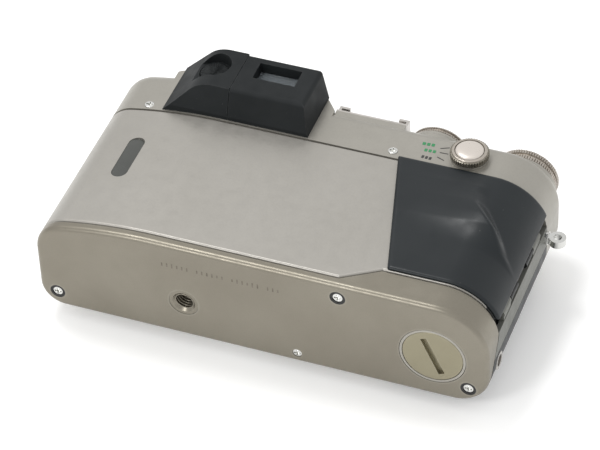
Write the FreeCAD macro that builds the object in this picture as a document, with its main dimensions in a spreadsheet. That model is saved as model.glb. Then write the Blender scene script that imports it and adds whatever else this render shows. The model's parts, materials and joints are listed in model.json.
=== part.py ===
# Compact interchangeable-lens film camera, upright, lens side to -Y, film door to +Y.
# +Z is up, the base plate stands on z = 0, and all lengths are in millimetres.
import FreeCAD
import Part
import Sketcher
import math
import os
from types import SimpleNamespace

SIZES = {
    # Body plan: a rounded box with a crowned back.
    "BodyHalf": 64.2,
    "BackPlane": 13.5,
    "FrontPlane": -18.5,
    "CrownRun": 34.2,
    "CrownRadius": 125.0,
    "LatchCorner": 9.5,
    "HingeCorner": 15.0,
    "GripCorner": 10.0,
    "WindowCorner": 7.0,
    # Heights of the seams and of the top.
    "LipHeight": 3.2,
    "RaisedLip": 9.4,
    "DoorTop": 52.0,
    "CoverTop": 65.5,
    "ShoulderTop": 69.8,
    "HumpTop": 71.0,
    # Walls and gaps.
    "CoverWall": 1.4,
    "SkinWall": 1.3,
    "DoorWall": 1.6,
    "FloorWall": 1.4,
    "ChassisInset": 1.9,
    "TakeupSplit": -13.6,
    "CartridgeSplit": 33.2,
    "SeamGap": 0.15,
    "DoorGap": 0.3,
    "RunGap": 0.05,
    "BaseEdge": 1.5,
    "LipEdge": 0.5,
    "DoorEdge": 0.7,
    "GripEdge": 0.8,
    "CoverEdge": 3.0,
    "ShoulderEdge": 5.6,
    "HumpEdge": 1.6,
    # Raised lip of the base: slanted step on the back, ramp along the hinge side.
    "StepLow": -22.0,
    "StepHigh": -32.0,
    "RampHigh": 0.5,
    "RampLow": -9.5,
    # Film path.
    "LensX": 9.0,
    "LensZ": 28.8,
    "FlangeY": -21.0,
    "FlangeFocus": 29.0,
    "GateWide": 36.0,
    "GateHigh": 24.0,
    "RailRise": 0.6,
    "RailWide": 1.2,
    "FilmHigh": 35.0,
    "ChamberRadius": 13.0,
    "ChamberInset": 17.2,
    "ChamberFloor": 8.0,
    "ChamberRoof": 49.6,
    "KnobRadius": 5.8,
    "KnobDeep": 5.6,
    "SpoolX": -28.0,
    "SpoolRadius": 6.5,
    "SpoolBore": 4.9,
    "SpoolChamber": 9.5,
    "SprocketX": -14.2,
    "SprocketRadius": 3.5,
    "ShaftRadius": 1.2,
    # Shutter and throat.
    "ShutterBack": -1.0,
    "ShutterThick": 3.4,
    "ShutterHalfWide": 21.8,
    "ShutterHalfHigh": 17.5,
    "ThroatRadius": 20.4,
    "ThroatRelief": 0.7,
    "ReliefLong": 3.6,
    "BaffleRadius": 21.8,
    "MountInner": 22.0,
    "MountOuter": 25.2,
    "MountThick": 1.8,
    "TabThick": 0.9,
    "BossRadius": 25.4,
    "PinCircle": 23.6,
    "CouplingRadius": 1.0,
    "LockPinRadius": 0.9,
    "ContactPinRadius": 0.35,
    "MountScrewRadius": 1.0,
    # Lens release button on the front.
    "ReleaseX": -24.0,
    "ReleaseZ": 16.0,
    "ReleaseRadius": 4.0,
    # Base fittings.
    "TripodX": 21.5,
    "TripodY": -6.2,
    "TripodRing": 4.2,
    "TripodBore": 2.6,
    "TripodDepth": 5.4,
    "BatteryInset": 15.4,
    "BatteryY": -4.1,
    "BatteryCap": 8.45,
    "CollarWide": 0.7,
    "CapThick": 2.2,
    "CoinSlotWide": 1.8,
    "CoinSlotLong": 12.6,
    "CoinSlotDeep": 1.1,
    "CoinSlotTurn": -24.0,
    "CellRadius": 7.8,
    "CellLong": 27.0,
    "TubeWall": 0.8,
    "TubeClearance": 0.3,
    "ScrewWell": 2.2,
    "ScrewWellDeep": 0.9,
    "ScrewHead": 1.35,
    "ScrewShank": 0.8,
    "ScrewLong": 4.0,
    # Door.
    "HingeX": -62.9,
    "HingeY": 2.7,
    "KnuckleRadius": 1.2,
    "HingePinRadius": 0.55,
    "KnuckleLong": 6.0,
    "DoorHingeEdge": 4.6,
    "DoorLatchEdge": 0.2,
    "GripEdgeTop": -21.4,
    "GripEdgeFoot": -33.2,
    "GripProud": 1.1,
    "GripTopRise": 0.6,
    "SwellRadius": 17.6,
    "SwellFade": 75.0,
    "ScoopRadius": 58.7,
    "WindowX": 49.3,
    "WindowZ": 31.2,
    "WindowWide": 4.7,
    "WindowLong": 16.8,
    "PlateThick": 1.0,
    "PlateHalfWide": 23.0,
    "PlateHalfHigh": 19.5,
    "PlateGap": 0.3,
    "LatchZ": 29.0,
    "LatchY": -4.6,
    "LatchLong": 12.0,
    "LatchWide": 3.6,
    "LatchProud": 1.0,
    "LatchTravel": 4.0,
    # Eyepiece block.
    "EyepieceBack": 22.5,
    "EyepieceRight": 6.6,
    "EyepieceSplit": 28.3,
    "EyepieceLeft": 47.8,
    "EyepieceFlare": 1.9,
    "DioptreTurn": 9.2,
    "DioptreCurve": 9.0,
    "EyepieceTop": 71.0,
    "EyepieceFoot": 55.2,
    "EyepieceLip": 52.4,
    "EyeWindowX": 17.9,
    "EyeWindowZ": 65.0,
    "EyeWindowWide": 12.4,
    "EyeWindowHigh": 6.6,
    "EyeWindowDeep": 3.2,
    "DioptreX": 36.3,
    "DioptreZ": 64.2,
    "DioptreRadius": 4.2,
    "DioptreRecess": 4.9,
    "DioptreRecessDeep": 3.7,
    "DioptreWellDeep": 1.9,
    "DioptreProud": 0.4,
    # Accessory shoe.
    "ShoeX": -8.8,
    "ShoeHalfWide": 10.2,
    "ShoeFront": -8.5,
    "ShoeBack": 11.5,
    "ShoePlinth": 1.2,
    "ShoePlinthOut": 1.1,
    "ShoeSlot": 2.0,
    "ShoeWall": 0.8,
    "ShoePlate": 0.5,
    "RailLip": 3.0,
    # Dials and buttons.
    "FocusX": -40.0,
    "FocusZ": 58.3,
    "FocusRadius": 5.4,
    "FocusRise": 3.0,
    "FocusCollar": 5.3,
    "FocusCollarRise": 0.9,
    "FocusButton": 3.6,
    "FocusButtonRise": 0.3,
    "ExposureX": -28.2,
    "ExposureY": 4.2,
    "ExposureRadius": 8.7,
    "ExposureRise": 3.5,
    "LeverRadius": 8.9,
    "LeverThick": 0.9,
    "ShutterX": -53.2,
    "ShutterY": 1.8,
    "ShutterRadius": 9.1,
    "ShutterRise": 4.2,
    "SwitchX": -46.0,
    "SwitchY": -11.6,
    "SwitchRadius": 4.9,
    "SwitchThick": 1.6,
    "ButtonRadius": 3.8,
    "ButtonRise": 4.4,
    "ModeX": -36.0,
    "ModeY": -10.5,
    "ModeRadius": 2.2,
    "ModeRise": 1.2,
    "SpindleRadius": 1.6,
    "SpindleLong": 3.0,
    # Front windows.
    "FinderX": 36.0,
    "FinderZ": 61.0,
    "FinderWide": 15.0,
    "FinderHigh": 9.4,
    "RangeZ": 60.5,
    "RangeX": -4.0,
    "RangeSpan": 20.0,
    "RangeWide": 7.0,
    "RangeHigh": 5.0,
    "LampX": -21.0,
    "LampRadius": 1.8,
    "GlassThick": 1.0,
    # Front grip.
    "GripFront": -22.5,
    "GripInnerX": -36.2,
    "GripRise": -44.0,
    "GripSide": -61.0,
    "GripFoot": 8.0,
    "GripCurve": 7.0,
    "SidePanelFront": -6.0,
    "SidePanelBack": 0.6,
    "SocketY": -9.4,
    "SocketZ": 9.2,
    "SocketRadius": 2.6,
    # Strap lugs.
    "LugZ": 50.6,
    "LugGripY": -2.0,
    "LugWindowY": -10.4,
    "LugOuter": 2.3,
    "LugHole": 1.15,
    "LugThick": 2.2,
    "LugOut": 3.4,
    "LugFoot": 1.9,
    "LugFootThick": 0.8,
}

DOC = FreeCAD.newDocument("FilmCamera")
SHEET = DOC.addObject("Spreadsheet::Sheet", "Sizes")
NODES = []
X, Y, Z = FreeCAD.Vector(1, 0, 0), FreeCAD.Vector(0, 1, 0), FreeCAD.Vector(0, 0, 1)


class Size:
    """A length that knows its number and the sheet expression it comes from."""

    def __init__(self, number, text):
        self.number = number
        self.text = text

    def __add__(self, other):
        other = as_size(other)
        return Size(self.number + other.number, f"({self.text} + {other.text})")

    def __sub__(self, other):
        other = as_size(other)
        return Size(self.number - other.number, f"({self.text} - {other.text})")

    def __mul__(self, factor):
        return Size(self.number * factor, f"({self.text} * {factor})")

    def __neg__(self):
        return self * -1.0


def as_size(value):
    return value if isinstance(value, Size) else Size(float(value), repr(float(value)))


def fill_sheet():
    """Write each driving size into the sheet and return them by name."""
    sizes = {}
    for row, (name, number) in enumerate(SIZES.items(), start=1):
        SHEET.set(f"A{row}", name)
        SHEET.set(f"B{row}", str(number))
        SHEET.setAlias(f"B{row}", name)
        sizes[name] = Size(number, f"Sizes.{name}")
    DOC.recompute()
    return SimpleNamespace(**sizes)


mm = fill_sheet()


def bind(thing, path, value):
    thing.setExpression(path, as_size(value).text)


def node(label, thing):
    """Mark an object as a finished sub-part."""
    thing.Label = label
    NODES.append(thing)
    return thing


# Basic solids.

def box(name, x, y, z):
    piece = DOC.addObject("Part::Box", name)
    for side, axis, (low, high) in (("Length", "x", x), ("Width", "y", y), ("Height", "z", z)):
        bind(piece, side, as_size(high) - low)
        bind(piece, "Placement.Base." + axis, low)
    return piece


AXES = {
    "x": (FreeCAD.Rotation(Y, 90), "yz"),
    "y": (FreeCAD.Rotation(X, -90), "xz"),
    "z": (FreeCAD.Rotation(), "xy"),
}


def place_round(piece, centre, low, axis):
    turn, across = AXES[axis]
    piece.Placement = FreeCAD.Placement(FreeCAD.Vector(), turn)
    for letter, value in zip(across, centre):
        bind(piece, "Placement.Base." + letter, value)
    bind(piece, "Placement.Base." + axis, low)


def rod(name, radius, centre, low, high, axis="z"):
    piece = DOC.addObject("Part::Cylinder", name)
    bind(piece, "Radius", radius)
    bind(piece, "Height", as_size(high) - low)
    place_round(piece, centre, low, axis)
    return piece


def cone(name, low_radius, high_radius, centre, low, high, axis="z"):
    piece = DOC.addObject("Part::Cone", name)
    bind(piece, "Radius1", low_radius)
    bind(piece, "Radius2", high_radius)
    bind(piece, "Height", as_size(high) - low)
    place_round(piece, centre, low, axis)
    return piece


def tube(name, outer, inner, centre, low, high, axis="z"):
    wall = rod(name + "Outer", outer, centre, low, high, axis)
    bore = rod(name + "Bore", inner, centre, as_size(low) - 1, as_size(high) + 1, axis)
    return cut(name, wall, bore)


def fuse(name, *pieces):
    if len(pieces) == 1:
        return pieces[0]
    joined = DOC.addObject("Part::MultiFuse", name)
    joined.Shapes = list(pieces)
    joined.Refine = True
    return joined


def cut(name, base, *tools):
    carved = DOC.addObject("Part::Cut", name)
    carved.Base = base
    carved.Tool = fuse(name + "Tools", *tools)
    carved.Refine = True
    return carved


def common(name, first, second):
    shared = DOC.addObject("Part::Common", name)
    shared.Base = first
    shared.Tool = second
    shared.Refine = True
    return shared


def rounded(name, base, radius, chooses):
    """Fillet the edges of base that the chooser accepts."""
    DOC.recompute()
    number = as_size(radius).number
    edges = [(i, number, number) for i, edge in enumerate(base.Shape.Edges, start=1) if chooses(edge)]
    if not edges:
        raise ValueError(name + " found no edge to round")
    soft = DOC.addObject("Part::Fillet", name)
    soft.Base = base
    soft.Edges = edges
    return soft


def level_edges(level, axis="z"):
    """A chooser for edges that lie wholly at one level."""
    number = as_size(level).number

    def chooses(edge):
        ends = (getattr(edge.BoundBox, axis.upper() + "Min"), getattr(edge.BoundBox, axis.upper() + "Max"))
        return all(abs(end - number) < 1e-4 for end in ends)
    return chooses


def rim_edges(base, step):
    """A chooser for edges of base whose middle stays on its skin when moved by step along z."""
    def chooses(edge):
        middle = edge.valueAt((edge.FirstParameter + edge.LastParameter) * 0.5)
        moved = Part.Vertex(middle + FreeCAD.Vector(0, 0, step))
        on_wall = base.Shape.Shells[0].distToShape(moved)[0] < 1e-4
        return on_wall and edge.BoundBox.ZMin > 1.6 and not upright_edges(edge)
    return chooses


def upright_edges(edge):
    bounds = edge.BoundBox
    return bounds.XLength < 1e-4 and bounds.YLength < 1e-4


# Sketched solids.

def plane_of(body, role):
    return next(item for item in body.Origin.OriginFeatures if item.Role == role)


def sketched_body(name, role, offset):
    body = DOC.addObject("PartDesign::Body", name)
    sketch = body.newObject("Sketcher::SketchObject", name + "Sketch")
    sketch.AttachmentSupport = [(plane_of(body, role), "")]
    sketch.MapMode = "FlatFace"
    bind(sketch, "AttachmentOffset.Base.z", offset)
    return body, sketch


def constrain(sketch, name, value, kind, *picks):
    index = sketch.addConstraint(Sketcher.Constraint(kind, *picks, as_size(value).number))
    sketch.renameConstraint(index, name)
    bind(sketch, "Constraints." + name, value)


def pad(body, name, length):
    feature = body.newObject("PartDesign::Pad", name + "Pad")
    feature.Profile = next(item for item in body.Group if item.TypeId == "Sketcher::SketchObject")
    bind(feature, "Length", length)
    return body


def plan_block(name, low, high, inset):
    """The body's plan outline, moved in by inset, as a block from low to high."""
    inset = as_size(inset)
    half = mm.BodyHalf - inset
    back = mm.BackPlane - inset
    front = mm.FrontPlane + inset
    crown_x = mm.BodyHalf - mm.CrownRun
    hinge, grip = mm.HingeCorner - inset, mm.GripCorner - inset
    window, latch = mm.WindowCorner - inset, mm.LatchCorner - inset
    crown = mm.CrownRadius - inset
    run = (half - latch - crown_x).number
    latch_y = back.number - crown.number + math.sqrt((crown.number - latch.number) ** 2 - run ** 2)
    lean = math.acos(run / (crown.number - latch.number))
    body, sketch = sketched_body(name, "XY_Plane", low)

    def line(x0, y0, x1, y1):
        sketch.addGeometry(Part.LineSegment(FreeCAD.Vector(x0, y0), FreeCAD.Vector(x1, y1)))

    def arc(x, y, radius, start, end):
        circle = Part.Circle(FreeCAD.Vector(x, y), Z, radius)
        sketch.addGeometry(Part.ArcOfCircle(circle, start, end))

    h, b, f = half.number, back.number, front.number
    line(crown_x.number, b, hinge.number - h, b)
    arc(hinge.number - h, b - hinge.number, hinge.number, math.pi / 2, math.pi)
    line(-h, b - hinge.number, -h, f + grip.number)
    arc(grip.number - h, f + grip.number, grip.number, math.pi, 1.5 * math.pi)
    line(grip.number - h, f, h - window.number, f)
    arc(h - window.number, f + window.number, window.number, 1.5 * math.pi, 2 * math.pi)
    line(h, f + window.number, h, latch_y)
    arc(h - latch.number, latch_y, latch.number, 0, lean)
    arc(crown_x.number, b - crown.number, crown.number, lean, math.pi / 2)
    for index in range(9):
        sketch.addConstraint(Sketcher.Constraint("Tangent", index, 2, (index + 1) % 9, 1))
    for index in (0, 4):
        sketch.addConstraint(Sketcher.Constraint("Horizontal", index))
    for index in (2, 6):
        sketch.addConstraint(Sketcher.Constraint("Vertical", index))
    for index, label, radius in ((1, "hinge", hinge), (3, "grip", grip), (5, "window", window),
                                 (7, "latch", latch), (8, "crown", crown)):
        constrain(sketch, label + "Radius", radius, "Radius", index)
    constrain(sketch, "latchSide", half, "DistanceX", -1, 1, 6, 1)
    constrain(sketch, "hingeSide", -half, "DistanceX", -1, 1, 2, 1)
    constrain(sketch, "backSide", back, "DistanceY", -1, 1, 0, 1)
    constrain(sketch, "frontSide", front, "DistanceY", -1, 1, 4, 1)
    constrain(sketch, "crownPlace", crown_x, "DistanceX", -1, 1, 8, 3)
    return pad(body, name, as_size(high) - low)


def prism(name, role, points, low, high):
    """A straight-sided prism whose every corner is bound to the sheet.

    role XY_Plane: points are (x, y) and the prism runs along z.
    role XZ_Plane: points are (x, z) and it runs along y.
    role YZ_Plane: points are (y, z) and it runs along x.
    """
    low, high = as_size(low), as_size(high)
    offset = -high if role == "XZ_Plane" else low
    body, sketch = sketched_body(name, role, offset)
    corners = [(as_size(u), as_size(v)) for u, v in points]
    spots = [FreeCAD.Vector(u.number, v.number) for u, v in corners]
    count = len(corners)
    for index in range(count):
        sketch.addGeometry(Part.LineSegment(spots[index], spots[(index + 1) % count]))
    for index in range(count):
        sketch.addConstraint(Sketcher.Constraint("Coincident", index, 2, (index + 1) % count, 1))
    for index, (u, v) in enumerate(corners):
        constrain(sketch, f"across{index}", u, "DistanceX", -1, 1, index, 1)
        constrain(sketch, f"up{index}", v, "DistanceY", -1, 1, index, 1)
    return pad(body, name, high - low)


def slot_rod(name, wide, long, centre, low, high, axis):
    """A stadium-shaped bar whose long way is z, along the axis given."""
    radius = wide * 0.5
    across, up = centre
    reach = (long - wide) * 0.5
    ends = [rod(name + end, radius, (across, up + shift), low, high, axis)
            for end, shift in (("Head", reach), ("Foot", -reach))]
    span_z = (up - reach, up + reach)
    span = (across - radius, across + radius)
    middle = box(name + "Middle", span, (low, high), span_z) if axis == "y" else \
        box(name + "Middle", (low, high), span, span_z)
    return fuse(name, middle, *ends)


def polar(centre, radius, degrees):
    """A point on a circle, as a pair of sizes."""
    angle = math.radians(degrees)
    radius = as_size(radius)
    return (as_size(centre[0]) + radius * math.cos(angle), as_size(centre[1]) + radius * math.sin(angle))


def turned_bar(name, centre, long, wide, degrees, low, high):
    """An upright-sided bar whose long way is turned by degrees from +Y towards -X."""
    angle = math.radians(as_size(degrees).number)
    long, wide = as_size(long), as_size(wide)
    ends = []
    for along, aside in ((0.5, 0.5), (0.5, -0.5), (-0.5, -0.5), (-0.5, 0.5)):
        x = centre[0] - long * (along * math.sin(angle)) + wide * (aside * math.cos(angle))
        y = centre[1] + long * (along * math.cos(angle)) + wide * (aside * math.sin(angle))
        ends.append((x, y))
    return prism(name, "XY_Plane", ends, low, high)


# Shared places.

FAR = 90.0
FILM_Y = mm.FlangeY + mm.FlangeFocus
MOUNT_SEAT = mm.FlangeY + mm.MountThick
LENS = (mm.LensX, mm.LensZ)
CHAMBER = (mm.BodyHalf - mm.ChamberInset, FILM_Y - 9.5)
SPOOL = (mm.SpoolX, FILM_Y - mm.SpoolRadius - 2.0)
SPROCKET = (mm.SprocketX, FILM_Y - mm.SprocketRadius - 0.4)
BATTERY = (mm.BatteryInset - mm.BodyHalf, mm.BatteryY)
TRIPOD = (mm.TripodX, mm.TripodY)
SHUTTER_FRONT = mm.ShutterBack - mm.ShutterThick
TUBE_OUTER = mm.CellRadius + mm.TubeClearance + mm.TubeWall
CELL_FOOT = mm.CapThick + 2.8
TUBE_ROOF = CELL_FOOT + mm.CellLong * 2.0 + 0.9
HINGE = (mm.HingeX, mm.HingeY)
LOW_HINGE = mm.RaisedLip + 4.6
HIGH_HINGE = mm.DoorTop - 12.0
SHELL_FOOT = mm.LipHeight + mm.SeamGap
SHELL_HEAD = mm.DoorTop - mm.SeamGap
COVER_SEAT = mm.CoverTop + mm.RunGap
COUPLING = polar(LENS, mm.PinCircle, 210)
LOCK_PIN = polar(LENS, mm.PinCircle, 150)
RELEASE = (mm.ReleaseX, mm.ReleaseZ)
BASE_SCREWS = ((mm.BodyHalf - 5.2, mm.FrontPlane + 5.1), (-mm.BodyHalf + 41.5, mm.BackPlane - 4.4),
               (-mm.BodyHalf + 5.5, mm.FrontPlane + 5.4))
SMALL_SCREW = (-mm.BodyHalf + 53.5, mm.FrontPlane + 3.4)
HOOK_HEIGHTS = (mm.LatchZ - 13.0, mm.LatchZ + 11.0)
EYE_WINDOW = (mm.EyeWindowX, mm.EyeWindowZ)
WINDOW = (mm.WindowX, mm.WindowZ)
SHOE_SEAT = mm.CoverTop + mm.ShoePlinth
SHOE_FLOOR = SHOE_SEAT + mm.ShoePlate
SHOE_TOP = SHOE_FLOOR + mm.ShoeSlot + mm.ShoeWall
SHOE_TAIL = mm.ShoeBack + mm.ShoePlinthOut


def below_back_lip(name, gap):
    """All that lies under the base's lip on the back, raised by gap."""
    low, high = mm.LipHeight + gap, mm.RaisedLip + gap
    points = ((FAR, low), (mm.StepLow, low), (mm.StepHigh, high), (-FAR, high), (-FAR, -5), (FAR, -5))
    return prism(name, "XZ_Plane", points, mm.DoorLatchEdge - 5, 60)


def below_side_lip(name, gap):
    """All that lies under the base's ramped lip on the hinge side, raised by gap."""
    low, high = mm.LipHeight + gap, mm.RaisedLip + gap
    points = ((-60, low), (mm.RampLow, low), (mm.RampHigh, high), (60, high), (60, -5), (-60, -5))
    return prism(name, "YZ_Plane", points, -FAR, -40)


def skin(name, low, high, outer, inner):
    """A wall that follows the plan outline between two insets."""
    return cut(name, plan_block(name + "Solid", low, high, outer),
               plan_block(name + "Hollow", as_size(low) - 1, as_size(high) + 1, inner))


def window_box(name, centre, wide, high, low_y, high_y):
    across, up = centre
    return box(name, (across - wide * 0.5, across + wide * 0.5), (low_y, high_y),
               (up - high * 0.5, up + high * 0.5))


# Base.

def bottom_cover():
    block = plan_block("BaseBlock", 0, mm.RaisedLip, 0)
    soft = rounded("BaseSoft", block, mm.BaseEdge, level_edges(0))
    high = mm.RaisedLip + 5
    step = prism("BaseStep", "XZ_Plane", (
        (FAR, mm.LipHeight), (FAR, high), (mm.StepHigh, high), (mm.StepHigh, mm.RaisedLip),
        (mm.StepLow, mm.LipHeight)), -60, 60)
    ramp = prism("BaseRamp", "YZ_Plane", (
        (-60, mm.LipHeight), (mm.RampLow, mm.LipHeight), (mm.RampHigh, mm.RaisedLip),
        (mm.RampHigh, high), (-60, high)), -FAR, FAR)
    holes = [rod("BaseTripodHole", mm.TripodRing + mm.RunGap, TRIPOD, -1, 5),
             rod("BaseBatteryHole", mm.BatteryCap + mm.CollarWide + mm.SeamGap, BATTERY, -1, 5),
             rod("BaseSmallHole", mm.ScrewShank + mm.RunGap, SMALL_SCREW, -1, 5),
             rod("BaseSmallWell", mm.ScrewHead, SMALL_SCREW, -1, 0.5)]
    for index, spot in enumerate(BASE_SCREWS):
        holes.append(rod(f"BaseWell{index}", mm.ScrewWell, spot, -1, mm.ScrewWellDeep))
        holes.append(rod(f"BaseHole{index}", mm.ScrewShank + mm.RunGap, spot, -1, 5))
    stepped = cut("BaseStepped", soft, step, ramp)
    DOC.recompute()
    lipped = rounded("BaseLipped", stepped, mm.LipEdge, rim_edges(stepped, -0.3))
    hollow = plan_block("BaseHollow", mm.FloorWall, mm.RaisedLip + 1, mm.SkinWall)
    return node("bottom_cover", cut("BottomCover", lipped, hollow, *holes))


def base_screws():
    pieces = []
    for index, spot in enumerate(BASE_SCREWS):
        pieces.append(rod(f"BaseScrewHead{index}", mm.ScrewHead, spot, 0.2, mm.ScrewWellDeep))
        pieces.append(rod(f"BaseScrewShank{index}", mm.ScrewShank, spot, 0.5, mm.ScrewLong))
    pieces.append(rod("SmallScrewHead", mm.ScrewHead - 0.1, SMALL_SCREW, 0.15, 0.5))
    pieces.append(rod("SmallScrewShank", mm.ScrewShank, SMALL_SCREW, 0.3, mm.ScrewLong))
    return node("base_screws", fuse("BaseScrews", *pieces))


def tripod_socket():
    insert = rod("TripodInsert", mm.TripodRing, TRIPOD, 0.1, mm.TripodDepth + 1.2)
    bore = rod("TripodThread", mm.TripodBore, TRIPOD, -1, mm.TripodDepth)
    mouth = cone("TripodMouth", mm.TripodBore + 0.7, mm.TripodBore, TRIPOD, 0.1, 0.8)
    return node("tripod_socket", cut("TripodSocket", insert, bore, mouth))


def battery_collar():
    outer = mm.BatteryCap + mm.CollarWide
    return node("battery_collar", tube("BatteryCollar", outer, mm.BatteryCap + mm.RunGap, BATTERY,
                                       0.05, mm.FloorWall))


def battery_cover():
    cap = rod("BatteryCap", mm.BatteryCap, BATTERY, 0, mm.CapThick)
    soft = rounded("BatteryCapSoft", cap, 0.35, level_edges(0))
    slot = turned_bar("CoinSlot", BATTERY, mm.CoinSlotLong, mm.CoinSlotWide, mm.CoinSlotTurn,
                      -1, mm.CoinSlotDeep)
    slotted = cut("BatteryCapSlotted", soft, slot)
    spring = cone("BatterySpring", 3.2, 1.6, BATTERY, mm.CapThick - 0.1, CELL_FOOT - mm.RunGap)
    return node("battery_cover", fuse("BatteryCover", slotted, spring))


def battery_tube():
    wall = rod("TubeWall", TUBE_OUTER, BATTERY, mm.CapThick + 0.3, TUBE_ROOF + mm.TubeWall)
    bore = rod("TubeBore", TUBE_OUTER - mm.TubeWall, BATTERY, 0, TUBE_ROOF)
    return node("battery_tube", cut("BatteryTube", wall, bore))


def battery_cells():
    for label, foot in (("lower_cell", CELL_FOOT), ("upper_cell", CELL_FOOT + mm.CellLong + mm.RunGap)):
        can = rod(label + "Can", mm.CellRadius, BATTERY, foot, foot + mm.CellLong - 0.9)
        knob = rod(label + "Knob", mm.CellRadius * 0.4, BATTERY, foot + 20, foot + mm.CellLong)
        node(label, fuse(label + "Cell", can, knob))


# Chassis and film path.

def chassis_film_cuts():
    foot, roof = mm.ChamberFloor, mm.ChamberRoof
    height = (foot, roof)
    back = FAR
    bay_left = CHAMBER[0] + mm.ChamberRadius
    bay_right = mm.SpoolX - mm.SpoolChamber
    sprocket_bay = mm.SprocketRadius + 0.9
    pieces = [box("FilmBay", (bay_right, bay_left), (FILM_Y - mm.RailRise, back), height),
              rod("CartridgeBay", mm.ChamberRadius, CHAMBER, foot, roof),
              box("CartridgeDoor", (CHAMBER[0] - mm.ChamberRadius, bay_left), (CHAMBER[1], back), height),
              rod("SpoolBay", mm.SpoolChamber, SPOOL, foot, roof),
              box("SpoolDoor", (bay_right, mm.SpoolX + mm.SpoolChamber), (SPOOL[1], back), height),
              rod("SprocketBay", sprocket_bay, SPROCKET, foot, roof),
              box("SprocketDoor", (mm.SprocketX - sprocket_bay, mm.SprocketX + sprocket_bay),
                  (SPROCKET[1], back), height),
              window_box("FilmGate", LENS, mm.GateWide, mm.GateHigh, SHUTTER_FRONT, back),
              window_box("ShutterBay", LENS, mm.ShutterHalfWide * 2.0 + 0.4,
                         mm.ShutterHalfHigh * 2.0 + 0.4,
                         SHUTTER_FRONT - 0.2, mm.ShutterBack)]
    for name, spot in (("Spool", SPOOL), ("Sprocket", SPROCKET), ("Fork", CHAMBER)):
        hole = mm.ShaftRadius + mm.RunGap
        pieces.append(rod(name + "TopHole", hole, spot, roof - 1, mm.DoorTop))
    pieces.append(rod("SprocketFootHole", mm.ShaftRadius + mm.RunGap, SPROCKET, foot - 3.5, foot + 1))
    pieces.append(rod("CartridgeKnobBay", mm.KnobRadius, CHAMBER, foot - mm.KnobDeep, foot + 1))
    return pieces


def chassis_fitting_cuts():
    far_front = -FAR
    latch_low = mm.LatchZ - mm.LatchTravel - 5.4
    pieces = [rod("ThroatBay", mm.BaffleRadius + 0.1, LENS, far_front, SHUTTER_FRONT - 0.1, "y"),
              rod("BatteryBay", TUBE_OUTER + mm.RunGap, BATTERY, 0, mm.DoorTop),
              rod("TripodBay", mm.TripodRing + mm.RunGap, TRIPOD, 0, mm.TripodDepth + 1.25),
              rod("HingeBay", mm.KnuckleRadius + 0.5, HINGE, 0, mm.DoorTop),
              box("HingeNeckBay", (-FAR, mm.HingeX + 1.4), (mm.SidePanelBack - 0.6, mm.DoorHingeEdge),
                  (0, mm.DoorTop)),
              rod("SocketBay", mm.SocketRadius + 0.4, (mm.SocketY, mm.SocketZ), -FAR, -mm.BodyHalf + 4,
                  "x"),
              rod("CouplingBay", mm.CouplingRadius + 0.2, COUPLING, far_front, mm.FrontPlane + 5.0, "y"),
              rod("LockPinBay", mm.LockPinRadius + 0.2, LOCK_PIN, far_front, mm.FrontPlane + 5.0, "y"),
              rod("ReleaseBay", mm.ReleaseRadius + 0.3, RELEASE, far_front, mm.FrontPlane + 5.5, "y"),
              box("LatchBay", (mm.BodyHalf - 3.4, FAR), (mm.LatchY - 1.6, mm.LatchY + 1.6),
                  (latch_low, mm.LatchZ + 5.0))]
    for index, foot in enumerate(HOOK_HEIGHTS):
        pieces.append(box(f"HookBay{index}", (mm.BodyHalf - 3.9, FAR), (mm.DoorLatchEdge - 4.0, FAR),
                          (foot - 0.6, foot + 4.6)))
    for index, spot in enumerate(BASE_SCREWS + (SMALL_SCREW,)):
        pieces.append(rod(f"ChassisScrewHole{index}", mm.ScrewShank + mm.RunGap, spot, 0,
                          mm.ScrewLong + 0.5))
    return pieces


def main_chassis():
    """The chassis casting, made as a middle block and a housing at each end."""
    block = plan_block("ChassisBlock", mm.FloorWall + mm.SeamGap, mm.DoorTop - mm.DoorGap, mm.ChassisInset)
    casting = cut("Casting", block, *chassis_film_cuts(), *chassis_fitting_cuts())
    for label, low, high in (("takeup_housing", -FAR, mm.TakeupSplit),
                             ("main_chassis", mm.TakeupSplit, mm.CartridgeSplit),
                             ("cartridge_housing", mm.CartridgeSplit, FAR)):
        node(label, common(label + "Block", casting, box(label + "Share", (low, high), (-60, 60),
                                                         (0, FAR))))


def film_rails():
    half = mm.GateWide * 0.5 + 0.4
    floor = FILM_Y - mm.RailRise
    rails = []
    for name, start, proud in (("Inner", mm.GateHigh * 0.5 + 0.3, 0.0),
                               ("Outer", mm.FilmHigh * 0.5 + 0.1, 0.2)):
        for side, low in (("Top", mm.LensZ + start), ("Foot", mm.LensZ - start - mm.RailWide)):
            rails.append(box(name + side, (mm.LensX - half, mm.LensX + half), (floor, FILM_Y + proud),
                             (low, low + mm.RailWide)))
    return node("film_rails", fuse("FilmRails", *rails))


def shutter_frame():
    block = window_box("ShutterBlock", LENS, mm.ShutterHalfWide * 2.0, mm.ShutterHalfHigh * 2.0,
                       SHUTTER_FRONT, mm.ShutterBack)
    hole = window_box("ShutterHole", LENS, mm.GateWide + 0.6, mm.GateHigh + 0.6, -FAR, FAR)
    groove = window_box("ShutterGroove", LENS, mm.GateWide + 3.0, mm.GateHigh + 3.0,
                        mm.ShutterBack - 2.4, mm.ShutterBack - 1.0)
    return node("shutter_frame", cut("ShutterFrame", block, hole, groove))


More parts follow.
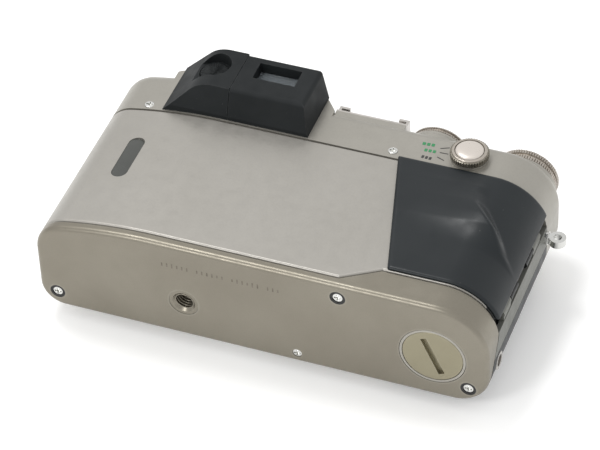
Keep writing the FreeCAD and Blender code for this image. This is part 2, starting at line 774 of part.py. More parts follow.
def shutter_blades():
    """Four closed blades that lap over each other from the foot up."""
    count = 4
    half = mm.GateWide * 0.5 + 1.3
    foot = mm.LensZ - mm.GateHigh * 0.5 - 1.3
    share = (mm.GateHigh + 2.0) * (1.0 / count)
    blades = []
    for index in range(count):
        front = mm.ShutterBack - 2.3 + index * 0.25
        low = foot + share * index
        blades.append(box(f"Blade{index}", (mm.LensX - half, mm.LensX + half), (front, front + 0.25),
                          (low, low + share + 0.5)))
    return node("shutter_blades", fuse("ShutterBlades", *blades))


def takeup_spool():
    foot, head = mm.ChamberFloor + 0.3, mm.ChamberRoof - 0.3
    core = rod("SpoolCore", mm.SpoolRadius, SPOOL, foot, head)
    flanges = [rod("SpoolFlange" + name, mm.SpoolChamber - 0.5, SPOOL, low, low + 0.8)
               for name, low in (("Foot", foot), ("Head", head - 0.8))]
    pin = rod("SpoolPin", mm.ShaftRadius, SPOOL, head - 1, mm.DoorTop - 0.8)
    bore = rod("SpoolHollow", mm.SpoolBore, SPOOL, foot - 1, head - 2.0)
    slit = box("SpoolSlit", (mm.SpoolX - 0.5, mm.SpoolX + 0.5), (SPOOL[1] + mm.SpoolBore - 0.5, FAR),
               (foot + 6, head - 6))
    return node("takeup_spool", cut("TakeupSpool", fuse("SpoolBody", core, pin, *flanges), bore, slit))


def wind_motor():
    can = rod("MotorCan", mm.SpoolBore - 0.5, SPOOL, mm.ChamberFloor, mm.ChamberRoof - 4.0)
    return node("wind_motor", can)


def sprocket():
    """Two toothed discs on a waisted shaft."""
    foot, head = mm.ChamberFloor + 0.3, mm.ChamberRoof - 0.3
    shaft = rod("SprocketShaft", mm.SprocketRadius * 0.6, SPROCKET, foot, head)
    pins = rod("SprocketPins", mm.ShaftRadius, SPROCKET, foot - 3.0, mm.DoorTop - 0.8)
    pieces = [shaft, pins]
    teeth = 8
    for name, level in (("Foot", mm.LensZ - 15.0), ("Head", mm.LensZ + 14.0)):
        pieces.append(rod("SprocketDisc" + name, mm.SprocketRadius - 0.5, SPROCKET, level - 0.8,
                          level + 1.8))
        for tooth in range(teeth):
            tip = polar(SPROCKET, mm.SprocketRadius - 0.6, tooth * 360.0 / teeth)
            pieces.append(rod(f"Tooth{name}{tooth}", 0.5, tip, level, level + 1.0))
    return node("sprocket", fuse("Sprocket", *pieces))


def rewind_fork():
    roof = mm.ChamberRoof
    shaft = rod("ForkShaft", mm.ShaftRadius, CHAMBER, roof - 3.0, mm.DoorTop - 0.8)
    hub = rod("ForkHub", 2.6, CHAMBER, roof - 1.6, roof - 0.2)
    tang = box("ForkTang", (CHAMBER[0] - 2.2, CHAMBER[0] + 2.2), (CHAMBER[1] - 0.5, CHAMBER[1] + 0.5),
               (roof - 4.2, roof - 1.0))
    return node("rewind_fork", fuse("RewindFork", shaft, hub, tang))


# Lens mount.

def throat_baffle():
    wall = tube("BaffleTube", mm.BaffleRadius, mm.ThroatRadius, LENS, MOUNT_SEAT + mm.RunGap,
                SHUTTER_FRONT - 0.25, "y")
    relief = rod("BaffleRelief", mm.ThroatRadius + mm.ThroatRelief, LENS, SHUTTER_FRONT - mm.ReliefLong,
                 SHUTTER_FRONT, "y")
    mask = rod("BaffleMask", mm.BaffleRadius, LENS, SHUTTER_FRONT - 1.05, SHUTTER_FRONT - 0.25, "y")
    view = window_box("BaffleView", LENS, mm.GateWide + 1.0, mm.GateHigh + 2.0, -FAR, FAR)
    return node("throat_baffle", fuse("ThroatBaffle", cut("BaffleTurned", wall, relief),
                                      cut("BaffleScreen", mask, view)))


def lens_mount_ring():
    ring = tube("MountRing", mm.MountOuter, mm.MountInner, LENS, mm.FlangeY, MOUNT_SEAT, "y")
    lug_ring = tube("TabRing", mm.MountInner + 0.2, mm.ThroatRadius + 0.2, LENS, mm.FlangeY,
                    mm.FlangeY + mm.TabThick, "y")
    wedges = []
    for index, middle in enumerate((90, 210, 330)):
        corners = (LENS, polar(LENS, 40.0, middle - 26), polar(LENS, 40.0, middle + 26))
        wedges.append(prism(f"TabWedge{index}", "XZ_Plane", corners, mm.FlangeY - 2, FILM_Y))
    tabs = common("MountTabs", lug_ring, fuse("TabWedges", *wedges))
    holes = [rod("RingCouplingHole", mm.CouplingRadius + mm.RunGap, COUPLING, -FAR, 0, "y"),
             rod("RingLockHole", mm.LockPinRadius + mm.RunGap, LOCK_PIN, -FAR, 0, "y")]
    for index, spot in enumerate(mount_screw_spots()):
        holes.append(rod(f"RingScrewHole{index}", mm.MountScrewRadius + mm.RunGap, spot, -FAR, 0, "y"))
    return node("lens_mount_ring", cut("LensMountRing", fuse("MountSolid", ring, tabs), *holes))


def mount_screw_spots():
    return [polar(LENS, mm.PinCircle, degrees) for degrees in (10, 80, 190, 260)]


def mount_screws():
    heads = [rod(f"MountScrew{index}", mm.MountScrewRadius, spot, mm.FlangeY + 0.1, MOUNT_SEAT, "y")
             for index, spot in enumerate(mount_screw_spots())]
    return node("mount_screws", fuse("MountScrews", *heads))


def mount_contacts():
    top = mm.LensZ - mm.ThroatRadius - 0.2
    block = box("ContactBlock", (mm.LensX - 3.4, mm.LensX + 3.4), (mm.FlangeY + 0.4, MOUNT_SEAT),
                (top - 0.9, top))
    pins = [rod(f"ContactPin{index}", mm.ContactPinRadius, (mm.LensX - 2.6 + index * 1.3, top - 0.45),
                mm.FlangeY + 0.15, mm.FlangeY + 1.0, "y") for index in range(5)]
    return node("mount_contacts", fuse("MountContacts", block, *pins))


def focus_coupling():
    shaft = rod("CouplingShaft", mm.CouplingRadius, COUPLING, mm.FlangeY - 0.3, mm.FrontPlane + 3.0, "y")
    blade = box("CouplingSlot", (COUPLING[0] - FAR, COUPLING[0] + FAR), (-FAR, mm.FlangeY + 0.5),
                (COUPLING[1] - 0.25, COUPLING[1] + 0.25))
    return node("focus_coupling", cut("FocusCoupling", shaft, blade))


def lens_lock_pin():
    pin = rod("LockPin", mm.LockPinRadius, LOCK_PIN, mm.FlangeY - 1.2, mm.FrontPlane + 2.5, "y")
    return node("lens_lock_pin", pin)


def lens_release_button():
    button = rod("ReleaseKnob", mm.ReleaseRadius, RELEASE, mm.FrontPlane - 2.4, mm.FrontPlane + 2.0, "y")
    return node("lens_release_button", rounded("ReleaseSoft", button, 0.6,
                                               level_edges(mm.FrontPlane - 2.4, "y")))


# Front and sides.

def front_cover():
    wall = skin("FrontSkin", SHELL_FOOT, SHELL_HEAD, 0, mm.SkinWall)
    keep = box("FrontKeep", (mm.GripInnerX + mm.SeamGap, FAR), (-60, mm.DoorLatchEdge - mm.DoorGap),
               (0, FAR))
    boss = rod("MountBoss", mm.BossRadius, LENS, MOUNT_SEAT, mm.FrontPlane + mm.SkinWall, "y")
    slot_low = mm.LatchZ - mm.LatchTravel - 4.3
    holes = [rod("FrontThroat", mm.BaffleRadius + 0.1, LENS, -FAR, 0, "y"),
             rod("FrontCouplingHole", mm.CouplingRadius + 0.1, COUPLING, -FAR, 0, "y"),
             rod("FrontLockHole", mm.LockPinRadius + 0.1, LOCK_PIN, -FAR, 0, "y"),
             rod("FrontReleaseHole", mm.ReleaseRadius + mm.RunGap, RELEASE, -FAR, 0, "y"),
             box("FrontLatchSlot", (mm.BodyHalf - 3, FAR), (mm.LatchY - 1.0, mm.LatchY + 1.0),
                 (slot_low, mm.LatchZ + 4.3))]
    shell = common("FrontShell", wall, keep)
    return node("front_cover", cut("FrontCover", fuse("FrontSolid", shell, boss), *holes))


def front_grip():
    """The rubber skin over the corner, with the finger swell standing proud of it."""
    edge = mm.SidePanelFront - mm.SeamGap
    keep = box("GripKeep", (-FAR, mm.GripInnerX), (-60, edge), (0, FAR))
    wrap = common("GripWrap", plan_block("GripPlan", SHELL_FOOT, SHELL_HEAD, 0), keep)
    corners = ((mm.GripSide, edge), (mm.GripSide, mm.GripFront), (mm.GripRise, mm.GripFront),
               (mm.GripInnerX, mm.FrontPlane), (mm.GripInnerX, edge))
    block = prism("GripBlock", "XY_Plane", corners, mm.GripFoot, SHELL_HEAD)

    def outer_corners(edge_found):
        bounds = edge_found.BoundBox
        return upright_edges(edge_found) and abs(bounds.YMin - mm.GripFront.number) < 1e-4
    swell = rounded("GripSwell", block, mm.GripCurve, outer_corners)
    hollow = plan_block("GripHollow", 0, FAR, mm.SkinWall)
    socket = rod("GripSocketHole", mm.SocketRadius + mm.RunGap, (mm.SocketY, mm.SocketZ), -FAR, -50, "x")
    return node("front_grip", cut("FrontGrip", fuse("GripSolid", wrap, swell), hollow,
                                  below_side_lip("GripLip", mm.SeamGap), socket))


def side_panel():
    wall = skin("PanelSkin", SHELL_FOOT, SHELL_HEAD, 0, mm.SkinWall)
    keep = box("PanelKeep", (-FAR, -50), (mm.SidePanelFront, mm.SidePanelBack), (0, FAR))
    panel = cut("PanelTrim", common("PanelShell", wall, keep), below_side_lip("PanelLip", mm.SeamGap))
    knuckles = []
    for name, foot in (("Low", LOW_HINGE), ("High", HIGH_HINGE)):
        head = foot + mm.KnuckleLong
        knuckles.append(rod("LeafKnuckle" + name, mm.KnuckleRadius, HINGE, foot, head))
        knuckles.append(box("LeafNeck" + name, (mm.HingeX - 1.0, mm.HingeX + 0.8),
                            (mm.SidePanelBack - 0.1, mm.HingeY), (foot, head)))
    bore = rod("LeafBore", mm.HingePinRadius, HINGE, 0, FAR)
    return node("side_panel", cut("SidePanel", fuse("PanelSolid", panel, *knuckles), bore))


def release_socket():
    centre = (mm.SocketY, mm.SocketZ)
    side = -mm.BodyHalf
    ring = tube("SocketRing", mm.SocketRadius, mm.SocketRadius - 0.9, centre, side - 0.15, side + 2.4, "x")
    core = rod("SocketCore", mm.SocketRadius - 0.8, centre, side + 1.6, side + 2.4, "x")
    return node("release_socket", fuse("ReleaseSocket", ring, core))


def strap_lug(label, side, place_y):
    """A ring on a round foot; side is -1 for the hinge side and 1 for the latch side."""
    face = mm.BodyHalf * side
    middle = (mm.BodyHalf + mm.LugOut) * side
    low_x, high_x = (middle, face) if side < 0 else (face, middle)
    half = mm.LugThick * 0.5
    ring = rod(label + "Ring", mm.LugOuter, (middle, mm.LugZ), place_y - half, place_y + half, "y")
    neck = box(label + "Neck", (low_x, high_x), (place_y - half, place_y + half),
               (mm.LugZ - half, mm.LugZ + half))
    foot_low = face - mm.LugFootThick if side < 0 else face
    foot = rod(label + "Foot", mm.LugFoot, (place_y, mm.LugZ), foot_low, foot_low + mm.LugFootThick, "x")
    hole = rod(label + "Hole", mm.LugHole, (middle, mm.LugZ), place_y - 5, place_y + 5, "y")
    solid = fuse(label + "Solid", ring, neck, foot)
    return node(label, cut(label + "Lug", solid, hole))


# Film door.

def back_door():
    top = mm.DoorTop - mm.DoorGap
    block = plan_block("DoorBlock", SHELL_FOOT, top, 0)
    keep = prism("DoorKeep", "XY_Plane", (
        (FAR, mm.DoorLatchEdge), (FAR, 40), (-FAR, 40), (-FAR, mm.DoorHingeEdge),
        (1, mm.DoorHingeEdge), (1, mm.DoorLatchEdge)), 0, FAR)
    shaped = cut("DoorShaped", common("DoorShare", block, keep), below_back_lip("DoorLip", mm.DoorGap))
    DOC.recompute()
    foot_rim, head_rim = rim_edges(shaped, 0.3), rim_edges(shaped, -0.3)

    def outer_rim(edge):
        middle = edge.valueAt((edge.FirstParameter + edge.LastParameter) * 0.5)
        inside = abs(middle.x - 1) < 1e-4 or any(
            abs(middle.y - size.number) < 1e-4 for size in (mm.DoorLatchEdge, mm.DoorHingeEdge))
        return (foot_rim(edge) or head_rim(edge)) and not inside
    soft = rounded("DoorSoft", shaped, mm.DoorEdge, outer_rim)
    hollow = plan_block("DoorHollow", 0, FAR, mm.DoorWall)
    window = slot_rod("DoorWindowCut", mm.WindowWide, mm.WindowLong, WINDOW, 0, FAR, "y")
    panel = cut("DoorPanel", soft, hollow, window)
    extras = []
    starts = (LOW_HINGE + mm.KnuckleLong + mm.DoorGap, HIGH_HINGE - mm.KnuckleLong - mm.DoorGap)
    for index, foot in enumerate(starts):
        head = foot + mm.KnuckleLong
        extras.append(rod(f"DoorKnuckle{index}", mm.KnuckleRadius, HINGE, foot, head))
        extras.append(box(f"DoorNeck{index}", (mm.HingeX + 0.25, mm.HingeX + 1.3),
                          (mm.HingeY, mm.DoorHingeEdge + 0.4), (foot, head)))
    inner = mm.BodyHalf - mm.DoorWall
    for index, foot in enumerate(HOOK_HEIGHTS):
        extras.append(box(f"DoorHook{index}", (inner - 1.5, inner + 0.1),
                          (mm.DoorLatchEdge - 2.8, mm.DoorLatchEdge + 1.6), (foot, foot + 4.0)))
    bore = rod("DoorBore", mm.HingePinRadius + mm.RunGap, HINGE, 0, FAR)
    return node("back_door", cut("BackDoor", fuse("DoorSolid", panel, *extras), bore))


def hinge_pin():
    return node("hinge_pin", rod("HingePin", mm.HingePinRadius, HINGE, LOW_HINGE - 0.8,
                                 HIGH_HINGE + mm.KnuckleLong + 0.8))


def thumb_swell():
    """The rising pad under the thumb, hollowed at its upper corner by a large ball."""
    side, base = -mm.BodyHalf, mm.BackPlane + mm.GripProud
    crest = base + 2.6
    pad_round = rod("SwellRound", mm.SwellRadius, (side + 17.2, crest - mm.SwellRadius),
                    mm.RaisedLip + 1.4, mm.DoorTop - 1.0)
    fade = rod("SwellFade", mm.SwellFade, (crest - mm.SwellFade, mm.LensZ + 1.0), -FAR, 0, "x")
    ball = DOC.addObject("Part::Sphere", "SwellBall")
    bind(ball, "Radius", mm.ScoopRadius)
    for axis, value in (("x", side - 18.4), ("y", mm.BackPlane + 47.5), ("z", mm.DoorTop + 2.8)):
        bind(ball, "Placement.Base." + axis, value)
    front = box("SwellFront", (-FAR, FAR), (-60, mm.DoorHingeEdge + 2.0), (0, FAR))
    return common("ThumbSwell", cut("SwellScooped", pad_round, ball, front), fade)


def thumb_grip():
    top = mm.DoorTop + mm.GripTopRise
    foot = mm.RaisedLip + mm.DoorGap
    block = plan_block("ThumbBlock", foot, top, -mm.GripProud)
    edge = prism("ThumbEdge", "XZ_Plane", (
        (mm.GripEdgeFoot, mm.RaisedLip), (mm.GripEdgeTop, top + 0.1), (FAR, top + 0.1),
        (FAR, 0), (mm.GripEdgeFoot, 0)), -60, 60)
    front = box("ThumbFront", (-FAR, FAR), (-60, mm.DoorHingeEdge), (0, FAR))
    trimmed = cut("ThumbTrimmed", block, edge, front)
    DOC.recompute()
    back = (mm.BackPlane + mm.GripProud).number

    def outer_rim(rim):
        bounds = rim.BoundBox
        on_back = abs(bounds.YMin - back) < 1e-4
        behind = bounds.YMin > mm.DoorHingeEdge.number - 1e-4
        corner = behind and bounds.ZLength < 1e-4 and bounds.YLength > 1
        shallow = corner and bounds.XMin < -mm.BodyHalf.number - 0.5
        return on_back or shallow
    soft = rounded("ThumbSoft", trimmed, mm.GripEdge, outer_rim)
    hollow = plan_block("ThumbHollow", 0, mm.DoorTop - mm.DoorGap, -mm.RunGap)
    above = plan_block("ThumbAbove", mm.DoorTop - 0.5, FAR, -mm.SeamGap)
    return node("thumb_grip", cut("ThumbGrip", fuse("ThumbSolid", soft, thumb_swell()), hollow, above))


def film_window():
    pane_back = mm.BackPlane - 2.0
    return node("film_window", slot_rod("FilmWindow", mm.WindowWide - 0.06, mm.WindowLong - 0.06,
                                        WINDOW, pane_back - mm.GlassThick, pane_back, "y"))


def pressure_plate():
    back = FILM_Y + mm.PlateGap + mm.PlateThick
    plate = window_box("PlateBlank", LENS, mm.PlateHalfWide * 2.0, mm.PlateHalfHigh * 2.0,
                       FILM_Y + mm.PlateGap, back)
    return node("pressure_plate", rounded("PressurePlate", plate, 3.0,
                                          lambda edge: edge.BoundBox.XLength < 1e-4
                                          and edge.BoundBox.ZLength < 1e-4))


def plate_spring():
    front = FILM_Y + mm.PlateGap + mm.PlateThick
    inner = mm.BackPlane - mm.DoorWall
    posts = [rod("SpringPost" + name, 1.6, (mm.LensX + shift, mm.LensZ), front, inner, "y")
             for name, shift in (("Left", 12.0), ("Right", -12.0))]
    leaf = window_box("SpringLeaf", LENS, as_size(34.0), as_size(6.0), front + 1.0, front + 1.3)
    return node("plate_spring", fuse("PlateSpring", leaf, *posts))


def door_latch():
    face = mm.BodyHalf
    half = mm.LatchLong * 0.5
    knob = box("LatchKnob", (face + mm.RunGap, face + mm.LatchProud),
               (mm.LatchY - mm.LatchWide * 0.5, mm.LatchY + mm.LatchWide * 0.5),
               (mm.LatchZ - half, mm.LatchZ + half))
    stem = box("LatchStem", (face - 2.2, face + 0.5), (mm.LatchY - 0.9, mm.LatchY + 0.9),
               (mm.LatchZ - 4.0, mm.LatchZ + 4.0))
    return node("door_latch", fuse("DoorLatch", knob, stem))


# Top cover.

def cover_outside():
    deck = rounded("DeckSoft", plan_block("DeckBlock", mm.DoorTop, mm.CoverTop, 0), mm.CoverEdge,
                   level_edges(mm.CoverTop))
    shoulder_block = common("ShoulderBlock", plan_block("ShoulderPlan", mm.DoorTop + 6, mm.ShoulderTop, 0),
                            box("ShoulderKeep", (mm.EyepieceLeft - 6, FAR), (-60, 60), (0, FAR)))
    shoulder = rounded("ShoulderSoft", shoulder_block, mm.ShoulderEdge, level_edges(mm.ShoulderTop))
    hump_shape = prism("HumpShape", "XZ_Plane", (
        (mm.EyepieceRight - 5.1, mm.DoorTop + 8), (mm.EyepieceRight - 5.1, mm.CoverTop),
        (mm.EyepieceRight - 0.6, mm.HumpTop), (mm.EyepieceLeft - 1.1, mm.HumpTop),
        (mm.EyepieceLeft + 1.9, mm.ShoulderTop - 0.6), (mm.EyepieceLeft + 1.9, mm.DoorTop + 8)), -60, 60)
    hump_block = common("HumpBlock", plan_block("HumpPlan", mm.DoorTop + 8, mm.HumpTop, 0), hump_shape)
    hump = rounded("HumpSoft", hump_block, mm.HumpEdge, level_edges(mm.HumpTop))
    bosses = [rod("ExposureBoss", mm.ExposureRadius + 0.2, (mm.ExposureX, mm.ExposureY),
                  mm.DoorTop + 9, mm.CoverTop),
              rod("ShutterBoss", mm.ShutterRadius + 0.2, (mm.ShutterX, mm.ShutterY), mm.DoorTop + 9,
                  mm.CoverTop),
              box("ShoePlinth", (mm.ShoeX - mm.ShoeHalfWide, mm.ShoeX + mm.ShoeHalfWide),
                  (mm.ShoeFront, SHOE_TAIL), (mm.DoorTop + 10, SHOE_SEAT)),
              rod("FocusBoss", mm.FocusCollar, (mm.FocusX, mm.FocusZ), mm.BackPlane - 2,
                  mm.BackPlane + mm.FocusCollarRise, "y")]
    return fuse("CoverOutside", deck, shoulder, hump, *bosses)


def cover_hollows():
    under = mm.DoorTop - 1
    wall = mm.CoverWall
    deck = plan_block("DeckHollow", under, mm.CoverTop - wall, wall)
    shoulder = common("ShoulderHollow", plan_block("ShoulderInside", under, mm.ShoulderTop - wall,
                                                   wall + 0.6),
                      box("ShoulderInsideKeep", (mm.EyepieceLeft - 4, FAR), (-60, 60), (0, FAR)))
    hump = common("HumpHollow", plan_block("HumpInside", under, mm.HumpTop - wall, wall + 0.4),
                  box("HumpInsideKeep", (mm.EyepieceRight + 1.0, mm.EyepieceLeft - 2.2), (-60, 60),
                      (0, FAR)))
    return [deck, shoulder, hump]


def cover_openings():
    running = mm.SpindleRadius + mm.RunGap
    top = (mm.DoorTop + 5, FAR)
    pieces = [rod("ExposureHole", running, (mm.ExposureX, mm.ExposureY), *top),
              rod("ShutterHole", running, (mm.ShutterX, mm.ShutterY), *top),
              rod("ButtonHole", running, (mm.SwitchX, mm.SwitchY), *top),
              rod("ModeHole", mm.ModeRadius + mm.RunGap, (mm.ModeX, mm.ModeY), *top),
              rod("FocusHole", running, (mm.FocusX, mm.FocusZ), mm.BackPlane - 4, FAR, "y"),
              window_box("EyeHole", EYE_WINDOW, mm.EyeWindowWide - 1.0, mm.EyeWindowHigh - 1.0, 5, FAR),
              window_box("FinderHole", (mm.FinderX, mm.FinderZ), mm.FinderWide, mm.FinderHigh, -FAR, -12),
              box("CounterHole", (mm.ShoeX - 22.0, mm.ShoeX - 13.0),
                  (mm.FrontPlane + 4.2, mm.FrontPlane + 9.2), top),
              rod("LampHole", mm.LampRadius + mm.RunGap, (mm.LampX, mm.RangeZ), -FAR, -12, "y"),
              rod("MountHole", mm.BossRadius + mm.SeamGap, LENS, -FAR, mm.FrontPlane + 2.0, "y")]
    for index, across in enumerate((mm.RangeX, mm.RangeX + mm.RangeSpan)):
        pieces.append(window_box(f"RangeHole{index}", (across, mm.RangeZ), mm.RangeWide, mm.RangeHigh,
                                 -FAR, -12))
    for index, (across, up) in enumerate(cover_screw_spots()):
        pieces.append(rod(f"CoverScrewHole{index}", mm.ScrewHead, (across, up), 4, FAR, "y"))
    return pieces


def cover_screw_spots():
    return ((mm.BodyHalf - 11.9, mm.DoorTop + 1.9), (-mm.BodyHalf + 44.9, mm.DoorTop + 2.6))


def top_cover():
    return node("top_cover", cut("TopCover", cover_outside(), *cover_hollows(), *cover_openings()))


def cover_screws():
    (left_x, left_z), (right_x, right_z) = cover_screw_spots()
    left_face = mm.BackPlane - 1.9
    heads = [rod("CoverScrewLeft", mm.ScrewHead - 0.05, (left_x, left_z), left_face - 1.6, left_face, "y"),
             rod("CoverScrewRight", mm.ScrewHead - 0.05, (right_x, right_z), mm.BackPlane - 1.6,
                 mm.BackPlane + 0.15, "y")]
    return node("cover_screws", fuse("CoverScrews", *heads))


def accessory_shoe():
    low, high = mm.ShoeX - mm.ShoeHalfWide, mm.ShoeX + mm.ShoeHalfWide
    deep = (mm.ShoeFront, mm.ShoeBack)
    pieces = [box("ShoePlate", (low, high), (mm.ShoeFront, SHOE_TAIL), (SHOE_SEAT, SHOE_FLOOR))]
    for name, wall, lip in (("Right", (low, low + mm.ShoeWall), (low, low + mm.RailLip)),
                            ("Left", (high - mm.ShoeWall, high), (high - mm.RailLip, high))):
        pieces.append(box("ShoeWall" + name, wall, deep, (SHOE_SEAT, SHOE_TOP)))
        pieces.append(box("ShoeLip" + name, lip, deep, (SHOE_TOP - mm.ShoeWall, SHOE_TOP)))
    return node("accessory_shoe", fuse("AccessoryShoe", *pieces))


def shoe_contacts():
    block = box("ShoeBlock", (mm.ShoeX - 5.6, mm.ShoeX + 5.6), (mm.ShoeFront + 2, mm.ShoeBack - 3),
                (SHOE_FLOOR, SHOE_FLOOR + 0.3))
    middle = (mm.ShoeFront + mm.ShoeBack) * 0.5
    dots = [rod(f"ShoeDot{index}", radius, (mm.ShoeX + dx, middle + dy), SHOE_FLOOR, SHOE_FLOOR + 0.45)
            for index, (radius, dx, dy) in enumerate(((1.2, 0.0, 0.0), (0.7, -3.2, -4.5),
                                                      (0.7, 3.2, -4.5)))]
    return node("shoe_contacts", fuse("ShoeContacts", block, *dots))


# Eyepiece and finder.

def eyepiece_profile(name, low_x, high_x):
    return prism(name, "YZ_Plane", (
        (mm.BackPlane - 3.0, mm.EyepieceLip), (mm.BackPlane + 1.1, mm.EyepieceLip),
        (mm.EyepieceBack, mm.EyepieceFoot), (mm.EyepieceBack, mm.EyepieceTop),
        (mm.BackPlane - 3.0, mm.EyepieceTop)), low_x, high_x)


def eyepiece_housing():
    flared = mm.EyepieceRight - mm.EyepieceFlare
    profile = eyepiece_profile("EyepieceProfile", flared, mm.EyepieceSplit)
    plan = prism("EyepiecePlan", "XY_Plane", (
        (flared, 5), (flared, mm.BackPlane), (mm.EyepieceRight, mm.EyepieceBack),
        (mm.EyepieceSplit, mm.EyepieceBack), (mm.EyepieceSplit, 5)), mm.DoorTop - 5, FAR)

    def back_rim(edge):
        bounds = edge.BoundBox
        at_back = abs(bounds.YMin - mm.EyepieceBack.number) < 1e-4
        at_top = abs(bounds.ZMin - mm.EyepieceTop.number) < 1e-4 and bounds.YMin > 12 and bounds.YLength > 1
        return (at_back or at_top) and bounds.XMax < mm.EyepieceSplit.number + 0.1 and not on_split(bounds)

    def on_split(bounds):
        return abs(bounds.XMin - mm.EyepieceSplit.number) < 1e-4
    soft = rounded("EyepieceSoft", common("EyepieceBlock", profile, plan), 1.3, back_rim)
    body = plan_block("EyepieceSeat", mm.DoorTop - 5, FAR, 0)
    recess = window_box("EyeRecess", EYE_WINDOW, mm.EyeWindowWide, mm.EyeWindowHigh,
                        mm.EyepieceBack - mm.EyeWindowDeep - mm.GlassThick, FAR)
    tunnel = window_box("EyeTunnel", EYE_WINDOW, mm.EyeWindowWide - 1.0, mm.EyeWindowHigh - 1.0, 0, FAR)
    return node("eyepiece_housing", cut("EyepieceHousing", soft, body, recess, tunnel))


def dioptre_housing():
    low = mm.EyepieceSplit + mm.SeamGap
    profile = eyepiece_profile("DioptreProfile", low, mm.EyepieceLeft)
    turn = mm.EyepieceSplit + mm.DioptreTurn
    plan = prism("DioptrePlan", "XY_Plane", (
        (low, 5), (low, mm.EyepieceBack), (turn, mm.EyepieceBack), (mm.EyepieceLeft, mm.BackPlane - 1.1),
        (mm.EyepieceLeft, 5)), mm.DoorTop - 5, FAR)

    def ramp_edge(edge):
        bounds = edge.BoundBox
        return upright_edges(edge) and abs(bounds.XMin - turn.number) < 1e-4
    block = common("DioptreBlock", profile, rounded("DioptrePlanSoft", plan, mm.DioptreCurve, ramp_edge))
    body = plan_block("DioptreSeat", mm.DoorTop - 5, FAR, 0)
    centre = (mm.DioptreX, mm.DioptreZ)
    recess_floor = mm.EyepieceBack - mm.DioptreRecessDeep
    recess = rod("DioptreRecess", mm.DioptreRecess, centre, recess_floor, FAR, "y")
    low_z, high_z = mm.DioptreZ - mm.DioptreRecess, mm.DioptreZ + mm.DioptreRecess
    open_side = prism("DioptreOpenSide", "XZ_Plane", (
        (mm.DioptreX, low_z), (mm.DioptreX, high_z), (mm.DioptreX + 5.7, high_z - 2.6),
        (FAR, high_z - 2.6),
        (FAR, low_z - 0.4), (mm.DioptreX + 5.7, low_z - 0.4)), recess_floor, FAR)
    well = rod("DioptreWell", mm.DioptreRadius + 0.2, centre, well_floor(), FAR, "y")
    spindle = rod("DioptreSpindleHole", mm.RunGap + 1.0, centre, well_floor() - 2.2, FAR, "y")
    return node("dioptre_housing", cut("DioptreHousing", block, body, recess, open_side, well, spindle))


def well_floor():
    return mm.EyepieceBack - mm.DioptreRecessDeep - mm.DioptreWellDeep


def dioptre_wheel():
    centre = (mm.DioptreX, mm.DioptreZ)
    floor = well_floor()
    top = mm.EyepieceBack - mm.DioptreRecessDeep + mm.DioptreProud
    wheel = rod("DioptreDisc", mm.DioptreRadius, centre, floor + 0.1, top, "y")
    spindle = rod("DioptreSpindle", 1.0, centre, floor - 2.0, floor + 0.5, "y")
    return node("dioptre_wheel", fuse("DioptreWheel", wheel, spindle))


def eyepiece_lens():
    back = mm.EyepieceBack - mm.EyeWindowDeep
    return node("eyepiece_lens", window_box("EyepieceLens", EYE_WINDOW, mm.EyeWindowWide - 0.2,
                                            mm.EyeWindowHigh - 0.2, back - mm.GlassThick + mm.RunGap, back))


def viewfinder_block():
    wall = mm.CoverWall
    block = box("FinderBlock", (mm.EyepieceRight + 2.0, mm.EyepieceLeft - 3.2),
                (mm.FrontPlane + wall + 1.2, mm.BackPlane - wall - 1.6),
                (mm.DoorTop - mm.DoorGap, mm.HumpTop - wall - 0.6))
    front = window_box("FinderTunnel", (mm.FinderX, mm.FinderZ), mm.FinderWide - 2.0,
                       mm.FinderHigh - 2.0, -FAR, 2)
    eye = window_box("FinderEyeTunnel", EYE_WINDOW, mm.EyeWindowWide - 2.0, mm.EyeWindowHigh - 2.0, -2,
                     FAR)
    link = box("FinderLink", (mm.EyeWindowX - 5, mm.FinderX + 5), (-2, 2),
               (mm.FinderZ - 3, mm.EyeWindowZ + 2))
    return node("viewfinder_block", cut("ViewfinderBlock", block, front, eye, link))


def front_glass(name, centre, wide, high):
    front = mm.FrontPlane + 0.2
    return window_box(name, centre, wide - 0.1, high - 0.1, front, front + mm.GlassThick)


def viewfinder_window():
    return node("viewfinder_window", front_glass("FinderGlass", (mm.FinderX, mm.FinderZ),
                                                 mm.FinderWide, mm.FinderHigh))


def rangefinder_windows():
    panes = [front_glass(f"RangeGlass{index}", (across, mm.RangeZ), mm.RangeWide, mm.RangeHigh)
             for index, across in enumerate((mm.RangeX, mm.RangeX + mm.RangeSpan))]
    return node("rangefinder_windows", fuse("RangefinderWindows", *panes))


def timer_lamp():
    return node("timer_lamp", rod("TimerLamp", mm.LampRadius, (mm.LampX, mm.RangeZ), mm.FrontPlane - 0.2,
                                  mm.FrontPlane + mm.CoverWall, "y"))


def counter_window():
    deep = (mm.FrontPlane + 4.25, mm.FrontPlane + 9.15)
    return node("counter_window", box("CounterWindow", (mm.ShoeX - 21.95, mm.ShoeX - 13.05), deep,
                                      (mm.CoverTop - mm.GlassThick - 0.1, mm.CoverTop - 0.1)))


def circuit_board():
    foot = mm.DoorTop - mm.DoorGap
    span = (mm.ShoeX - 29.0, mm.EyepieceRight - 2.0)
    board = box("BoardSheet", span, (-12, 5), (foot + 1.4, foot + 2.6))
    posts = [rod("BoardPost" + name, 1.4, (x, y), foot, foot + 1.5)
             for name, x, y in (("A", span[0] + 3, -9), ("B", span[1] - 3, -9), ("C", span[1] - 3, 2))]
    chips = [box("BoardChip" + name, (mm.ShoeX + x, mm.ShoeX + x + 9), (-8, 1), (foot + 2.5, foot + 4.2))
             for name, x in (("A", -16.0), ("B", -2.0))]
    return node("circuit_board", fuse("CircuitBoard", board, *posts, *chips))


# Dials and buttons.

